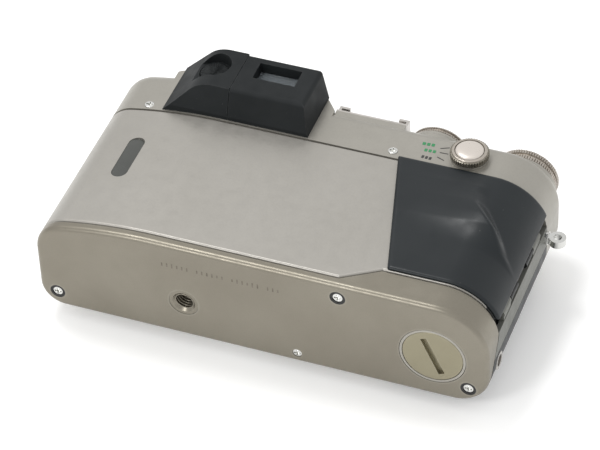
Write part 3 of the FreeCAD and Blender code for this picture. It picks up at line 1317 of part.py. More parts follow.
def top_dial(label, centre, radius, foot, top):
    """A dial with two rims, a groove between them, and a spindle."""
    solid = rod(label + "Rim", radius, centre, foot, top)
    soft = rounded(label + "Soft", solid, 0.5, level_edges(top))
    middle = (foot + top) * 0.5
    groove = tube(label + "Groove", radius + 1.0, radius - 0.45, centre, middle - 0.22, middle + 0.22)
    spindle = rod(label + "Spindle", mm.SpindleRadius, centre, mm.CoverTop - mm.SpindleLong, foot + 0.5)
    return node(label, fuse(label + "Dial", cut(label + "Grooved", soft, groove), spindle))


def exposure_dial():
    foot = COVER_SEAT + mm.LeverThick + mm.RunGap
    return top_dial("exposure_dial", (mm.ExposureX, mm.ExposureY), mm.ExposureRadius, foot,
                    mm.CoverTop + mm.ExposureRise)


def bracket_lever():
    centre = (mm.ExposureX, mm.ExposureY)
    ring = rod("LeverRing", mm.LeverRadius, centre, COVER_SEAT, COVER_SEAT + mm.LeverThick)
    tab = turned_bar("LeverTab", (mm.ExposureX - 4.6, mm.ExposureY - 8.2), as_size(6.0), as_size(2.6), 150,
                     COVER_SEAT, COVER_SEAT + mm.LeverThick)
    hole = rod("LeverHole", mm.SpindleRadius + mm.RunGap, centre, mm.CoverTop - 1, FAR)
    return node("bracket_lever", cut("BracketLever", fuse("LeverSolid", ring, tab), hole))


def shutter_dial():
    return top_dial("shutter_dial", (mm.ShutterX, mm.ShutterY), mm.ShutterRadius, COVER_SEAT,
                    mm.CoverTop + mm.ShutterRise)


def main_switch():
    centre = (mm.SwitchX, mm.SwitchY)
    ring = rod("SwitchRing", mm.SwitchRadius, centre, COVER_SEAT, COVER_SEAT + mm.SwitchThick)
    tab = turned_bar("SwitchTab", (mm.SwitchX + 5.0, mm.SwitchY), as_size(2.2), as_size(3.4), 0,
                     COVER_SEAT, COVER_SEAT + mm.SwitchThick)
    hole = rod("SwitchHole", mm.ButtonRadius + mm.RunGap, centre, mm.CoverTop - 1, FAR)
    return node("main_switch", cut("MainSwitch", fuse("SwitchSolid", ring, tab), hole))


def release_button():
    centre = (mm.SwitchX, mm.SwitchY)
    top = mm.CoverTop + mm.ButtonRise
    cap = rod("ButtonCap", mm.ButtonRadius, centre, mm.CoverTop + 1.35, top)
    stem = rod("ButtonStem", mm.SpindleRadius, centre, mm.CoverTop - mm.SpindleLong, mm.CoverTop + 2)
    soft = rounded("ButtonSoft", cap, 0.9, level_edges(top))
    dish = rod("ButtonThread", 0.9, centre, top - 1.0, FAR)
    return node("release_button", cut("ReleaseButton", fuse("ButtonSolid", soft, stem), dish))


def mode_button():
    centre = (mm.ModeX, mm.ModeY)
    top = mm.CoverTop + mm.ModeRise
    knob = rod("ModeKnob", mm.ModeRadius, centre, mm.CoverTop - mm.CoverWall - 0.6, top)
    return node("mode_button", rounded("ModeButton", knob, 0.4, level_edges(top)))


def focus_dial():
    centre = (mm.FocusX, mm.FocusZ)
    foot = mm.BackPlane + mm.FocusCollarRise + mm.SeamGap
    top = mm.BackPlane + mm.FocusRise
    rim = rod("FocusRim", mm.FocusRadius, centre, foot, top, "y")
    soft = rounded("FocusSoft", rim, 0.4, level_edges(top, "y"))
    spindle = rod("FocusSpindle", mm.SpindleRadius, centre, mm.BackPlane - mm.SpindleLong, foot + 0.2, "y")
    well = rod("FocusWell", mm.FocusButton + mm.RunGap, centre, foot + 0.6, FAR, "y")
    return node("focus_dial", cut("FocusDial", fuse("FocusSolid", soft, spindle), well))


def focus_lock_button():
    centre = (mm.FocusX, mm.FocusZ)
    foot = mm.BackPlane + mm.FocusCollarRise + mm.SeamGap + 0.6
    top = mm.BackPlane + mm.FocusRise + mm.FocusButtonRise
    knob = rod("FocusKnob", mm.FocusButton, centre, foot + 0.65, top, "y")
    return node("focus_lock_button", rounded("FocusLockButton", knob, 0.4, level_edges(top, "y")))


# Build, check and export.

def build_everything():
    for build_piece in (
            bottom_cover, base_screws, tripod_socket, battery_collar, battery_cover, battery_tube,
            battery_cells, main_chassis, film_rails, shutter_frame, shutter_blades,
            takeup_spool, wind_motor, sprocket, rewind_fork, throat_baffle, lens_mount_ring, mount_screws,
            mount_contacts, focus_coupling, lens_lock_pin, lens_release_button, front_cover, front_grip,
            side_panel, release_socket, back_door, hinge_pin, thumb_grip, film_window, pressure_plate,
            plate_spring, door_latch, top_cover, cover_screws, accessory_shoe, shoe_contacts,
            eyepiece_housing, dioptre_housing, dioptre_wheel, eyepiece_lens, viewfinder_block,
            viewfinder_window, rangefinder_windows, timer_lamp, counter_window, circuit_board,
            exposure_dial, bracket_lever, shutter_dial, main_switch, release_button, mode_button,
            focus_dial, focus_lock_button):
        build_piece()
    strap_lug("grip_side_lug", -1, mm.LugGripY)
    strap_lug("latch_side_lug", 1, mm.LugWindowY)
    DOC.recompute()


def check_everything():
    for thing in DOC.Objects:
        if "Invalid" in thing.State or "Error" in thing.State:
            raise RuntimeError(f"{thing.Label} failed: {thing.State}")
    for piece in NODES:
        if piece.Shape.isNull() or not piece.Shape.isValid():
            raise RuntimeError(f"{piece.Label} has no valid shape")


def export_everything():
    os.makedirs("parts", exist_ok=True)
    for piece in NODES:
        piece.Shape.exportStep(f"parts/{piece.Label}.step")
        print(f"{piece.Label:22s} solids {len(piece.Shape.Solids)}  volume {piece.Shape.Volume:10.1f}")


build_everything()
check_everything()
export_everything()
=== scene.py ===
import bpy
import json
import math
import random
from mathutils import Matrix, Vector


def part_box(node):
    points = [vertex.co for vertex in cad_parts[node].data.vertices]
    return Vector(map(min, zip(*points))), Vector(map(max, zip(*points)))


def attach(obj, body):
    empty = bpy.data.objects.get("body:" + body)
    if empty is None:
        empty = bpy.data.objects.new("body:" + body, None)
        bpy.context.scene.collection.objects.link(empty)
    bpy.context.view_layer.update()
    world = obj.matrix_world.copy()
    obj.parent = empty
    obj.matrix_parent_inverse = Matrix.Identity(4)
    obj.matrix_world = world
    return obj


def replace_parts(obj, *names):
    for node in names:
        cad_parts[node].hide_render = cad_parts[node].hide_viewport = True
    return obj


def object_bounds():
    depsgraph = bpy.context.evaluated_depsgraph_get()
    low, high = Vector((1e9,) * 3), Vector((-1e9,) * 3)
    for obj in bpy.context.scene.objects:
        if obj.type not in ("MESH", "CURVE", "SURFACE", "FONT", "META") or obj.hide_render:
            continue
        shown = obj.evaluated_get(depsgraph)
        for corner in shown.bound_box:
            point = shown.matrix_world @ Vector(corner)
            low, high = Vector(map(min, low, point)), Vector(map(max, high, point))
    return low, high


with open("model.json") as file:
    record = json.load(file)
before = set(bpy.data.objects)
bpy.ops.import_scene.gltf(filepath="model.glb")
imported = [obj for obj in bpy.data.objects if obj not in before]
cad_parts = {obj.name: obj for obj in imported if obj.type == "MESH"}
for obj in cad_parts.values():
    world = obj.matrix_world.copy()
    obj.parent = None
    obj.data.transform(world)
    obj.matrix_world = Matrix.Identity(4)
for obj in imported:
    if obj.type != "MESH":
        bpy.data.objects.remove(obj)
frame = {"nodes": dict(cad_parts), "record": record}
cadLow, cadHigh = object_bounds()
nodes = frame["nodes"]
mm = 0.001
chance = random.Random(11)
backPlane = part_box("back_door")[1].y / mm
print("frame loaded with", len(nodes), "nodes")

# Small helpers for picking, copying and placing.
axisTurn = {"x": (0, math.pi / 2, 0), "y": (-math.pi / 2, 0, 0), "z": (0, 0, 0)}


def clearSelection():
    if bpy.context.mode != "OBJECT":
        bpy.ops.object.mode_set(mode="OBJECT")
    bpy.ops.object.select_all(action="DESELECT")


def chooseOnly(pieces):
    clearSelection()
    for piece in pieces:
        piece.select_set(True)
    bpy.context.view_layer.objects.active = pieces[0]


def settle(piece):
    chooseOnly([piece])
    bpy.ops.object.transform_apply(location=True, rotation=True, scale=True)
    return piece


def joinAll(name, pieces):
    chooseOnly(pieces)
    if len(pieces) > 1:
        bpy.ops.object.join()
    piece = bpy.context.active_object
    piece.name = name
    return piece


def pickFaces(piece, test):
    # opens the piece in edit mode with only the faces that pass the test
    chooseOnly([piece])
    mesh = piece.data
    for group in (mesh.vertices, mesh.edges, mesh.polygons):
        group.foreach_set("select", [False] * len(group))
    bpy.context.tool_settings.mesh_select_mode = (False, False, True)
    for face in mesh.polygons:
        face.select = test(face.center / mm, face.normal)
    bpy.ops.object.mode_set(mode="EDIT")


def pickEdges(piece, test):
    chooseOnly([piece])
    mesh = piece.data
    for group in (mesh.vertices, mesh.edges, mesh.polygons):
        group.foreach_set("select", [False] * len(group))
    bpy.context.tool_settings.mesh_select_mode = (False, True, False)
    for edge in mesh.edges:
        first, second = (mesh.vertices[index].co / mm for index in edge.vertices)
        edge.select = test(first, second)
    bpy.ops.object.mode_set(mode="EDIT")


def closeEdit():
    bpy.ops.object.mode_set(mode="OBJECT")


def smoothByAngle(piece, degrees=35):
    chooseOnly([piece])
    bpy.ops.object.shade_smooth_by_angle(angle=math.radians(degrees))


def addRod(name, radius, length, middle, axis="z", sides=64, ends="NGON"):
    clearSelection()
    bpy.ops.mesh.primitive_cylinder_add(vertices=sides, radius=radius * mm, depth=length * mm,
                                        location=[value * mm for value in middle],
                                        rotation=axisTurn[axis], end_fill_type=ends)
    piece = bpy.context.active_object
    piece.name = name
    return settle(piece)


def addBlock(name, size, middle, turn=(0, 0, 0)):
    clearSelection()
    bpy.ops.mesh.primitive_cube_add(size=1, location=[value * mm for value in middle], rotation=turn)
    piece = bpy.context.active_object
    piece.name = name
    piece.scale = [value * mm for value in size]
    return settle(piece)


def copyMoved(piece, name, shift):
    copy = piece.copy()
    copy.data = piece.data.copy()
    copy.name = name
    bpy.context.scene.collection.objects.link(copy)
    copy.data.transform(Matrix.Translation([value * mm for value in shift]))
    return copy


def applyModifier(piece, kind, **settings):
    chooseOnly([piece])
    modifier = piece.modifiers.new(kind.title(), kind)
    for key, value in settings.items():
        setattr(modifier, key, value)
    bpy.ops.object.modifier_apply(modifier=modifier.name)


def cutWith(piece, cutter):
    applyModifier(piece, "BOOLEAN", operation="DIFFERENCE", object=cutter, solver="EXACT")
    bpy.data.objects.remove(cutter)


def copyNode(nodeName, copyName):
    source = nodes[nodeName]
    copy = bpy.data.objects.new(copyName, source.data.copy())
    bpy.context.scene.collection.objects.link(copy)
    chooseOnly([copy])
    bpy.ops.object.mode_set(mode="EDIT")
    bpy.ops.mesh.select_all(action="SELECT")
    bpy.ops.mesh.remove_doubles(threshold=0.000001)
    bpy.ops.object.mode_set(mode="OBJECT")
    return copy


def boxMiddle(nodeName):
    low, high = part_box(nodeName)
    return (low + high) / 2 / mm


def looseBoxes(nodeName):
    # lowest and highest corner, in mm, of each separate lump of a node
    copy = copyNode(nodeName, nodeName + "Lumps")
    bpy.ops.object.mode_set(mode="EDIT")
    bpy.ops.mesh.select_all(action="SELECT")
    bpy.ops.mesh.separate(type="LOOSE")
    bpy.ops.object.mode_set(mode="OBJECT")
    found = []
    for lump in list(bpy.context.selected_objects):
        places = [vertex.co / mm for vertex in lump.data.vertices]
        low = Vector([min(place[i] for place in places) for i in range(3)])
        high = Vector([max(place[i] for place in places) for i in range(3)])
        found.append((low, high))
        bpy.data.objects.remove(lump)
    return sorted(found, key=lambda pair: tuple(round(value, 2) for value in pair[0]))


# Finishes.
def nodeAt(tree, kind, **values):
    node = tree.nodes.new(kind)
    for name, value in values.items():
        if name in node.inputs:
            node.inputs[name].default_value = value
        else:
            setattr(node, name, value)
    return node


def noiseLevel(tree, place, scale, detail, lowEdge, highEdge):
    # 0 to 1 patches of noise, cut between two edges
    noise = nodeAt(tree, "ShaderNodeTexNoise", Scale=scale, Detail=detail)
    tree.links.new(place, noise.inputs["Vector"])
    span = nodeAt(tree, "ShaderNodeMapRange")
    span.inputs["From Min"].default_value = lowEdge
    span.inputs["From Max"].default_value = highEdge
    tree.links.new(noise.outputs["Fac"], span.inputs["Value"])
    return span.outputs["Result"]


def blendColour(tree, level, first, second):
    mix = nodeAt(tree, "ShaderNodeMix", data_type="RGBA")
    tree.links.new(level, mix.inputs["Factor"])
    for socket, value in ((mix.inputs[6], first), (mix.inputs[7], second)):
        if isinstance(value, (tuple, list)):
            socket.default_value = (*value, 1)
        else:
            tree.links.new(value, socket)
    return mix.outputs[2]


def timesLevel(tree, level, other):
    product = nodeAt(tree, "ShaderNodeMath", operation="MULTIPLY")
    tree.links.new(level, product.inputs[0])
    if isinstance(other, float):
        product.inputs[1].default_value = other
    else:
        tree.links.new(other, product.inputs[1])
    return product.outputs[0]


def edgeLevel(tree, place, radius, patchy):
    # 1 on outside edges, broken up by noise where patchy, 0 on flats
    soft = nodeAt(tree, "ShaderNodeBevel", samples=4, Radius=radius)
    flat = nodeAt(tree, "ShaderNodeNewGeometry")
    turn = nodeAt(tree, "ShaderNodeVectorMath", operation="DOT_PRODUCT")
    tree.links.new(soft.outputs[0], turn.inputs[0])
    tree.links.new(flat.outputs["Normal"], turn.inputs[1])
    span = nodeAt(tree, "ShaderNodeMapRange")
    span.inputs["From Min"].default_value = 0.985
    span.inputs["From Max"].default_value = 0.85
    tree.links.new(turn.outputs["Value"], span.inputs["Value"])
    if not patchy:
        return span.outputs["Result"]
    return timesLevel(tree, span.outputs["Result"], noiseLevel(tree, place, 700, 3, 0.38, 0.62))


def makeFinish(name, look):
    material = bpy.data.materials.new(name)
    material.use_nodes = True
    tree = material.node_tree
    shader = tree.nodes["Principled BSDF"]
    place = nodeAt(tree, "ShaderNodeTexCoord").outputs["Object"]
    tones = noiseLevel(tree, place, look.get("toneScale", 60), 3, 0.35, 0.65)
    colour = blendColour(tree, tones, look["colour"], look["tone"])
    for spots in look.get("spots", ()):
        level = noiseLevel(tree, place, spots["scale"], 2, spots["cut"],
                           spots["cut"] + spots.get("soft", 0.03))
        colour = blendColour(tree, timesLevel(tree, level, spots.get("strength", 1.0)), colour,
                             spots["colour"])
    # outside edges lightened: partly rubbed wear, partly a painted highlight on the edges; where not patchy
    # it is an even painted highlight
    if "wearAndSheen" in look:
        edges = edgeLevel(tree, place, look.get("wearAndSheenWide", 0.0004), look.get("patchy", True))
        wornAndSheened = timesLevel(tree, edges, look.get("wearAndSheenLevel", 0.6))
        colour = blendColour(tree, wornAndSheened, colour, look["wearAndSheen"])
    # band: colour changed past a coordinate on one axis; painted shade by the hinge on the door, the dark
    # plate under the gold pads on the shoe contacts
    if "band" in look:
        band = look["band"]
        across = nodeAt(tree, "ShaderNodeSeparateXYZ")
        tree.links.new(place, across.inputs[0])
        near = nodeAt(tree, "ShaderNodeMapRange")
        near.inputs["From Min"].default_value = band["start"]
        near.inputs["From Max"].default_value = band["end"]
        tree.links.new(across.outputs[band["axis"]], near.inputs["Value"])
        colour = blendColour(tree, near.outputs["Result"], colour, band["colour"])
    tree.links.new(colour, shader.inputs["Base Color"])
    shader.inputs["Metallic"].default_value = look.get("metal", 0.0)
    shader.inputs["Specular IOR Level"].default_value = look.get("shine", 0.5)
    rough = nodeAt(tree, "ShaderNodeMapRange")
    rough.inputs["To Min"].default_value = look["rough"] - look.get("roughSpread", 0.05)
    rough.inputs["To Max"].default_value = look["rough"] + look.get("roughSpread", 0.05)
    patches = noiseLevel(tree, place, look.get("roughScale", 300), 4, 0.3, 0.7)
    tree.links.new(patches, rough.inputs["Value"])
    tree.links.new(rough.outputs["Result"], shader.inputs["Roughness"])
    if "alpha" in look:
        shader.inputs["Alpha"].default_value = look["alpha"]
    if "coat" in look:
        shader.inputs["Coat Weight"].default_value = look["coat"]
        shader.inputs["Coat Roughness"].default_value = look.get("coatRough", 0.1)
    grain = nodeAt(tree, "ShaderNodeTexNoise", Scale=look.get("grainScale", 5000), Detail=2)
    tree.links.new(place, grain.inputs["Vector"])
    bump = nodeAt(tree, "ShaderNodeBump", Strength=look.get("grain", 0.2), Distance=0.0001)
    tree.links.new(grain.outputs["Fac"], bump.inputs["Height"])
    tree.links.new(bump.outputs["Normal"], shader.inputs["Normal"])
    return material


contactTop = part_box("shoe_contacts")[1].z
scuffs = dict(scale=2600, cut=0.76, colour=(0.3, 0.3, 0.29), strength=0.5)
finishLooks = {
    "doorTitanium": dict(colour=(0.355, 0.34, 0.31), tone=(0.375, 0.36, 0.33), metal=0.6, rough=0.38,
                         grain=0.16,
                         toneScale=25, wearAndSheen=(0.6, 0.58, 0.54), wearAndSheenLevel=0.15,
                         # painted shade: the door turns near black past x -60.2 mm, towards the hinge
                         band=dict(axis="X", start=-0.0602, end=-0.0605, colour=(0.02, 0.021, 0.021)),
                         spots=[dict(scale=1500, cut=0.5, soft=0.12, colour=(0.3, 0.288, 0.262),
                                     strength=0.14)]),
    "coverTitanium": dict(colour=(0.335, 0.32, 0.285), tone=(0.355, 0.34, 0.305), metal=0.6, rough=0.38,
                          grain=0.16, toneScale=25, wearAndSheen=(0.58, 0.56, 0.5), wearAndSheenLevel=0.4,
                          spots=[dict(scale=1500, cut=0.5, soft=0.12, colour=(0.28, 0.267, 0.238),
                                      strength=0.14)]),
    # base: a darker copy of the titanium, painting the shade on the underside; its even light edges are a
    # painted highlight on the lip bevel
    "baseTitaniumShaded": dict(colour=(0.225, 0.205, 0.166), tone=(0.25, 0.23, 0.188), metal=0.8, rough=0.36,
                         patchy=False,
                         grain=0.2, toneScale=40, wearAndSheen=(0.46, 0.445, 0.39), wearAndSheenLevel=0.3, wearAndSheenWide=0.0011,
                         spots=[dict(scale=3400, cut=0.5, soft=0.14, colour=(0.18, 0.163, 0.13),
                                     strength=0.22)]),
    "socketSteel": dict(colour=(0.2, 0.185, 0.15), tone=(0.24, 0.22, 0.18), metal=0.9, rough=0.35,
                        wearAndSheen=(0.5, 0.48, 0.42), wearAndSheenLevel=0.5, wearAndSheenWide=0.0003),
    "gripRubber": dict(colour=(0.006, 0.009, 0.011), tone=(0.009, 0.0125, 0.0145), rough=0.38, grain=0.12,
                       shine=0.34, spots=[scuffs], wearAndSheen=(0.09, 0.095, 0.09), wearAndSheenLevel=0.25),
    "housingBlack": dict(colour=(0.009, 0.011, 0.012), tone=(0.013, 0.0152, 0.0162), rough=0.62, grain=0.3,
                         shine=0.22, grainScale=3600, spots=[scuffs], wearAndSheen=(0.08, 0.085, 0.085),
                          wearAndSheenLevel=0.45),
    "panelGrey": dict(colour=(0.14, 0.142, 0.125), tone=(0.16, 0.162, 0.145), rough=0.45, metal=0.2,
                      wearAndSheen=(0.3, 0.3, 0.28), wearAndSheenLevel=0.4),
    "chassisBlack": dict(colour=(0.012, 0.012, 0.012), tone=(0.018, 0.018, 0.018), rough=0.6, grain=0.3),
    "steel": dict(colour=(0.5, 0.48, 0.45), tone=(0.58, 0.55, 0.52), metal=0.9, rough=0.3,
                  wearAndSheen=(0.75, 0.73, 0.7), wearAndSheenLevel=0.4),
    "brightSteel": dict(colour=(0.62, 0.62, 0.6), tone=(0.7, 0.7, 0.68), metal=1.0, rough=0.2),
    "capChampagne": dict(colour=(0.265, 0.24, 0.165), tone=(0.29, 0.265, 0.185), metal=0.7, rough=0.34,
                         wearAndSheen=(0.6, 0.57, 0.48), wearAndSheenLevel=0.5),
    # dials: the bright narrow pad edges are mostly a painted highlight on the knurl, with some rubbed wear
    "dialChampagne": dict(colour=(0.40, 0.36, 0.315), tone=(0.45, 0.41, 0.36), metal=0.8, rough=0.3,
                          wearAndSheen=(0.85, 0.82, 0.78), wearAndSheenLevel=0.8, wearAndSheenWide=0.0002),
    # a darker copy of the dial metal, painting the shade on the knurled focus ring
    "dialChampagneShaded": dict(colour=(0.17, 0.155, 0.125), tone=(0.21, 0.19, 0.155), metal=0.7, rough=0.36,
                     wearAndSheen=(0.6, 0.57, 0.5), wearAndSheenLevel=0.8, wearAndSheenWide=0.0002),
    "buttonPearl": dict(colour=(0.6, 0.55, 0.5), tone=(0.64, 0.59, 0.54), metal=0.5, rough=0.3),
    "blackSteel": dict(colour=(0.02, 0.02, 0.02), tone=(0.03, 0.03, 0.03), metal=0.6, rough=0.35,
                       wearAndSheen=(0.2, 0.2, 0.19), wearAndSheenLevel=0.4),
    "glass": dict(colour=(0.25, 0.28, 0.3), tone=(0.3, 0.33, 0.35), rough=0.05, roughSpread=0.02, alpha=0.35,
                  coat=1.0, grain=0.0),
    "smokedWindow": dict(colour=(0.055, 0.058, 0.053), tone=(0.07, 0.073, 0.067), rough=0.25,
                         roughSpread=0.06),
    "lampRed": dict(colour=(0.35, 0.02, 0.01), tone=(0.4, 0.03, 0.01), rough=0.1, coat=1.0),
    "gold": dict(colour=(0.7, 0.48, 0.18), tone=(0.75, 0.53, 0.22), metal=1.0, rough=0.2),
    "contactGold": dict(colour=(0.7, 0.48, 0.18), tone=(0.75, 0.53, 0.22), metal=0.9, rough=0.25,
                        band=dict(axis="Z", start=contactTop - 0.00006, end=contactTop - 0.0001,
                                  colour=(0.03, 0.03, 0.03))),
    "boardGreen": dict(colour=(0.01, 0.07, 0.03), tone=(0.015, 0.09, 0.04), rough=0.35, coat=0.5),
    "cellSilver": dict(colour=(0.5, 0.5, 0.52), tone=(0.55, 0.55, 0.57), metal=0.4, rough=0.3),
    "plasticBlack": dict(colour=(0.012, 0.012, 0.012), tone=(0.018, 0.018, 0.018), rough=0.4, shine=0.4),
    "markGreen": dict(colour=(0.02, 0.2, 0.07), tone=(0.03, 0.24, 0.09), rough=0.5),
    "markDark": dict(colour=(0.02, 0.02, 0.02), tone=(0.035, 0.035, 0.035), rough=0.5),
    "markFaint": dict(colour=(0.1, 0.085, 0.06), tone=(0.15, 0.13, 0.1), rough=0.5, toneScale=900),
}
finishes = {name: makeFinish(name, look) for name, look in finishLooks.items()}
slotFinish = {
    "titanium": "coverTitanium", "black_grip": "gripRubber", "black_housing": "housingBlack",
    "grey_panel": "panelGrey", "chassis_black": "chassisBlack", "steel": "steel",
    "bright_steel": "brightSteel",
    "champagne_cap": "capChampagne", "black_steel": "blackSteel", "glass": "glass",
    "smoked_window": "smokedWindow", "lamp_red": "lampRed", "gold": "gold", "board_green": "boardGreen",
    "cell_silver": "cellSilver", "plastic_black": "plasticBlack",
}
nodeFinish = {"bottom_cover": "baseTitaniumShaded", "hinge_pin": "blackSteel", "shoe_contacts": "contactGold",
              "back_door": "doorTitanium", "tripod_socket": "socketSteel",
              "exposure_dial": "dialChampagne", "shutter_dial": "dialChampagne",
              "dioptre_wheel": "housingBlack"}
for entry in frame["record"]["subparts"]:
    name = entry["node"]
    finish = finishes[nodeFinish.get(name, slotFinish.get(entry["material_slot"], "coverTitanium"))]
    nodes[name].data.materials.clear()
    nodes[name].data.materials.append(finish)
print("finishes made:", len(finishes))


def dress(piece, finishName, body, smooth=35):
    piece.data.materials.clear()
    piece.data.materials.append(finishes[finishName])
    if smooth:
        smoothByAngle(piece, smooth)
    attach(piece, body)
    return piece


# Thumb rest: one soft moulded pad, its creases rounded as rubber is.
thumbRest = {
    "grain": 0.34, "softSteps": 5, "softness": 0.5, "thick": 1.1,
    "crease": ((52.0, -46.0), (44.0, -46.0), (40.0, -47.0), (35.0, -50.6), (27.0, -57.4), (24.0, -62.8),
               (21.0, -70.0), (9.0, -90.0)),
    "ridge": 0.5, "peak": 2.1, "peakLevel": 34.0, "peakSpan": 9.0, "fade": 11.5, "fall": 4.2, "lowEnd": 24.0,
    "cornerX": -49.2, "cornerY": -1.5, "cornerRadius": 15.0,
    "innerSkin": 0.4, "skin": 0.65, "topEnd": 51.5, "topFade": 5.0, "lowFade": 8.0,
}


def creaseAt(level):
    # how far along the pad the crease lies at a height
    points = thumbRest["crease"]
    for (highLevel, highPlace), (lowLevel, lowPlace) in zip(points, points[1:]):
        if level >= lowLevel:
            share = min(1.0, max(0.0, (level - lowLevel) / (highLevel - lowLevel)))
            return lowPlace + share * (highPlace - lowPlace)
    return points[-1][1]


def swellAt(along, level):
    past = along - creaseAt(level)
    above = (level - thumbRest["peakLevel"]) / thumbRest["peakSpan"]
    tall = thumbRest["ridge"] + thumbRest["peak"] * math.exp(-above ** 2)
    topEdge = min(1.0, max(0.0, (thumbRest["topEnd"] - level) / thumbRest["topFade"]))
    edge = topEdge * min(1.0, max(0.0, (level - thumbRest["lowEnd"]) / thumbRest["lowFade"]))
    if past >= 0:
        return tall * math.exp(-past / thumbRest["fade"]) * edge
    share = max(0.0, 1 + past / thumbRest["fall"])
    return tall * share * share * (3 - 2 * share) * edge


def moulded(place):
    # the pad flattened to its plain thickness, then swollen up to the crease
    centre = Vector((thumbRest["cornerX"], thumbRest["cornerY"]))
    if place.x > centre.x:
        outward, base, along = Vector((0, 1)), place.y - backPlane, place.x
    elif place.y > centre.y:
        arm = Vector((place.x, place.y)) - centre
        outward, base = arm.normalized(), arm.length - thumbRest["cornerRadius"]
        along = centre.x - thumbRest["cornerRadius"] * math.atan2(-outward.x, outward.y)
    else:
        return place
    if base < thumbRest["innerSkin"]:
        return place
    share = min(1.0, (base - thumbRest["innerSkin"]) / thumbRest["skin"])
    rise = min(base, thumbRest["thick"]) + share * swellAt(along, place.z) - base
    return Vector((place.x + outward.x * rise, place.y + outward.y * rise, place.z))


thumb = copyNode("thumb_grip", "thumbRest")
applyModifier(thumb, "REMESH", mode="VOXEL", voxel_size=thumbRest["grain"] * mm, use_smooth_shade=True)
for vertex in thumb.data.vertices:
    vertex.co = moulded(vertex.co / mm) * mm
applyModifier(thumb, "SMOOTH", factor=thumbRest["softness"], iterations=thumbRest["softSteps"])
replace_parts(dress(thumb, "gripRubber", "film_door", 60), "thumb_grip")
print("thumb rest made")

# Screws: a head with a crossed recess, sunk in a dark cup on the base.
screwLook = {"long": 1.0, "sides": 40, "rim": 0.28, "dome": 0.072, "crossWide": 0.34, "crossLong": 1.5,
             "crossDeep": 1.0}
cupLook = {"radius": 2.16, "tall": 0.75, "middle": 0.425, "wall": 0.62, "innerLimit": 1.7,
           "smallestHead": 2.4}


def crossHead(name, low, high, axis):
    # head at the box of a CAD head, its face towards the given signed axis
    middle = (low + high) / 2
    index = "xyz".index(axis[1])
    side = 1 if axis[0] == "+" else -1
    radius = (high[(index + 1) % 3] - low[(index + 1) % 3]) / 2
    face = high[index] if side > 0 else low[index]
    place = list(middle)
    place[index] = face - side * screwLook["long"] / 2
    head = addRod(name, radius, screwLook["long"], place, axis[1], screwLook["sides"])
    outward = Vector([side if i == index else 0 for i in range(3)])
    pickFaces(head, lambda centre, normal: normal.dot(outward) > 0.9)
    bpy.ops.mesh.inset(thickness=radius * screwLook["rim"] * mm, depth=screwLook["dome"] * mm)
    closeEdit()
    for first, second in (("crossWide", "crossLong"), ("crossLong", "crossWide")):
        size = [0, 0, 0]
        size[index] = screwLook["crossDeep"]
        size[(index + 1) % 3] = radius * screwLook[first]
        size[(index + 2) % 3] = radius * screwLook[second]
        spot = list(middle)
        spot[index] = face
        cutWith(head, addBlock("crossCutter", size, spot))
    return head


heads = [crossHead("baseHead", low, high, "-z") for low, high in looseBoxes("base_screws")]
screwHeads = joinAll("baseScrewHeads", heads)
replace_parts(dress(screwHeads, "brightSteel", "camera_body", 30), "base_screws")

def screwCup(across):
    # a short dark tube round a sunk head, open at both ends
    def inner(point):
        return math.hypot(point.x - across.x, point.y - across.y) < cupLook["innerLimit"]

    cup = addRod("baseCup", cupLook["radius"], cupLook["tall"], (across.x, across.y, cupLook["middle"]),
                 "z", 48)
    pickFaces(cup, lambda centre, normal: abs(normal.z) > 0.9)
    bpy.ops.mesh.inset(thickness=cupLook["wall"] * mm)
    bpy.ops.mesh.delete(type="FACE")
    closeEdit()
    pickEdges(cup, lambda a, b: inner(a) and inner(b) and abs(a.z - b.z) < 0.01)
    bpy.ops.mesh.bridge_edge_loops()
    closeEdit()
    return cup


cups = [screwCup((low + high) / 2) for low, high in looseBoxes("base_screws")
        if high.x - low.x > cupLook["smallestHead"]]
dress(joinAll("baseScrewCups", cups), "blackSteel", "camera_body")

coverHeads = [crossHead("coverHead", low, high, "+y") for low, high in looseBoxes("cover_screws")]
coverScrews = joinAll("coverScrewHeads", coverHeads)
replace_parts(dress(coverScrews, "brightSteel", "camera_body", 30), "cover_screws")
mountHeads = [crossHead("mountHead", low, high, "-y") for low, high in looseBoxes("mount_screws")]
mountScrews = joinAll("mountScrewHeads", mountHeads)
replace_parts(dress(mountScrews, "brightSteel", "camera_body", 30), "mount_screws")
print("screws made")

# Tripod thread: turns of a coarse thread inside the socket.
threadLook = {"pitch": 0.9, "turns": 5, "wire": 0.2, "bore": 2.62, "start": 0.75, "lean": 5}
socketSpot = boxMiddle("tripod_socket")
clearSelection()
bpy.ops.mesh.primitive_torus_add(major_segments=48, minor_segments=8, major_radius=threadLook["bore"] * mm,
                                 minor_radius=threadLook["wire"] * mm,
                                 location=(socketSpot.x * mm, socketSpot.y * mm, threadLook["start"] * mm))
firstTurn = settle(bpy.context.active_object)
pickFaces(firstTurn, lambda centre, normal: True)
bpy.ops.transform.rotate(value=math.radians(threadLook["lean"]), orient_axis="X",
                         center_override=(socketSpot.x * mm, socketSpot.y * mm, threadLook["start"] * mm))
closeEdit()
turns = [firstTurn] + [copyMoved(firstTurn, "threadTurn", (0, 0, threadLook["pitch"] * step))
                       for step in range(1, threadLook["turns"])]
dress(joinAll("tripodThread", turns), "socketSteel", "camera_body", 50)
print("tripod thread made")


# Knurled rims: a plain drum whose side faces are each pushed out as a small pad.
def knurledDrum(name, middle, radius, length, axis, ribs, proud, gap):
    drum = addRod(name, radius - proud, length, middle, axis, ribs)
    index = "xyz".index(axis)
    pickFaces(drum, lambda centre, normal: abs(normal[index]) < 0.5)
    bpy.ops.mesh.inset(thickness=gap * mm, depth=proud * mm, use_individual=True)
    closeEdit()
    return drum


dialLook = {"ribs": 78, "proud": 0.38, "gap": 0.15, "groove": 0.5, "rimInset": 0.55, "faceDrop": 0.12}


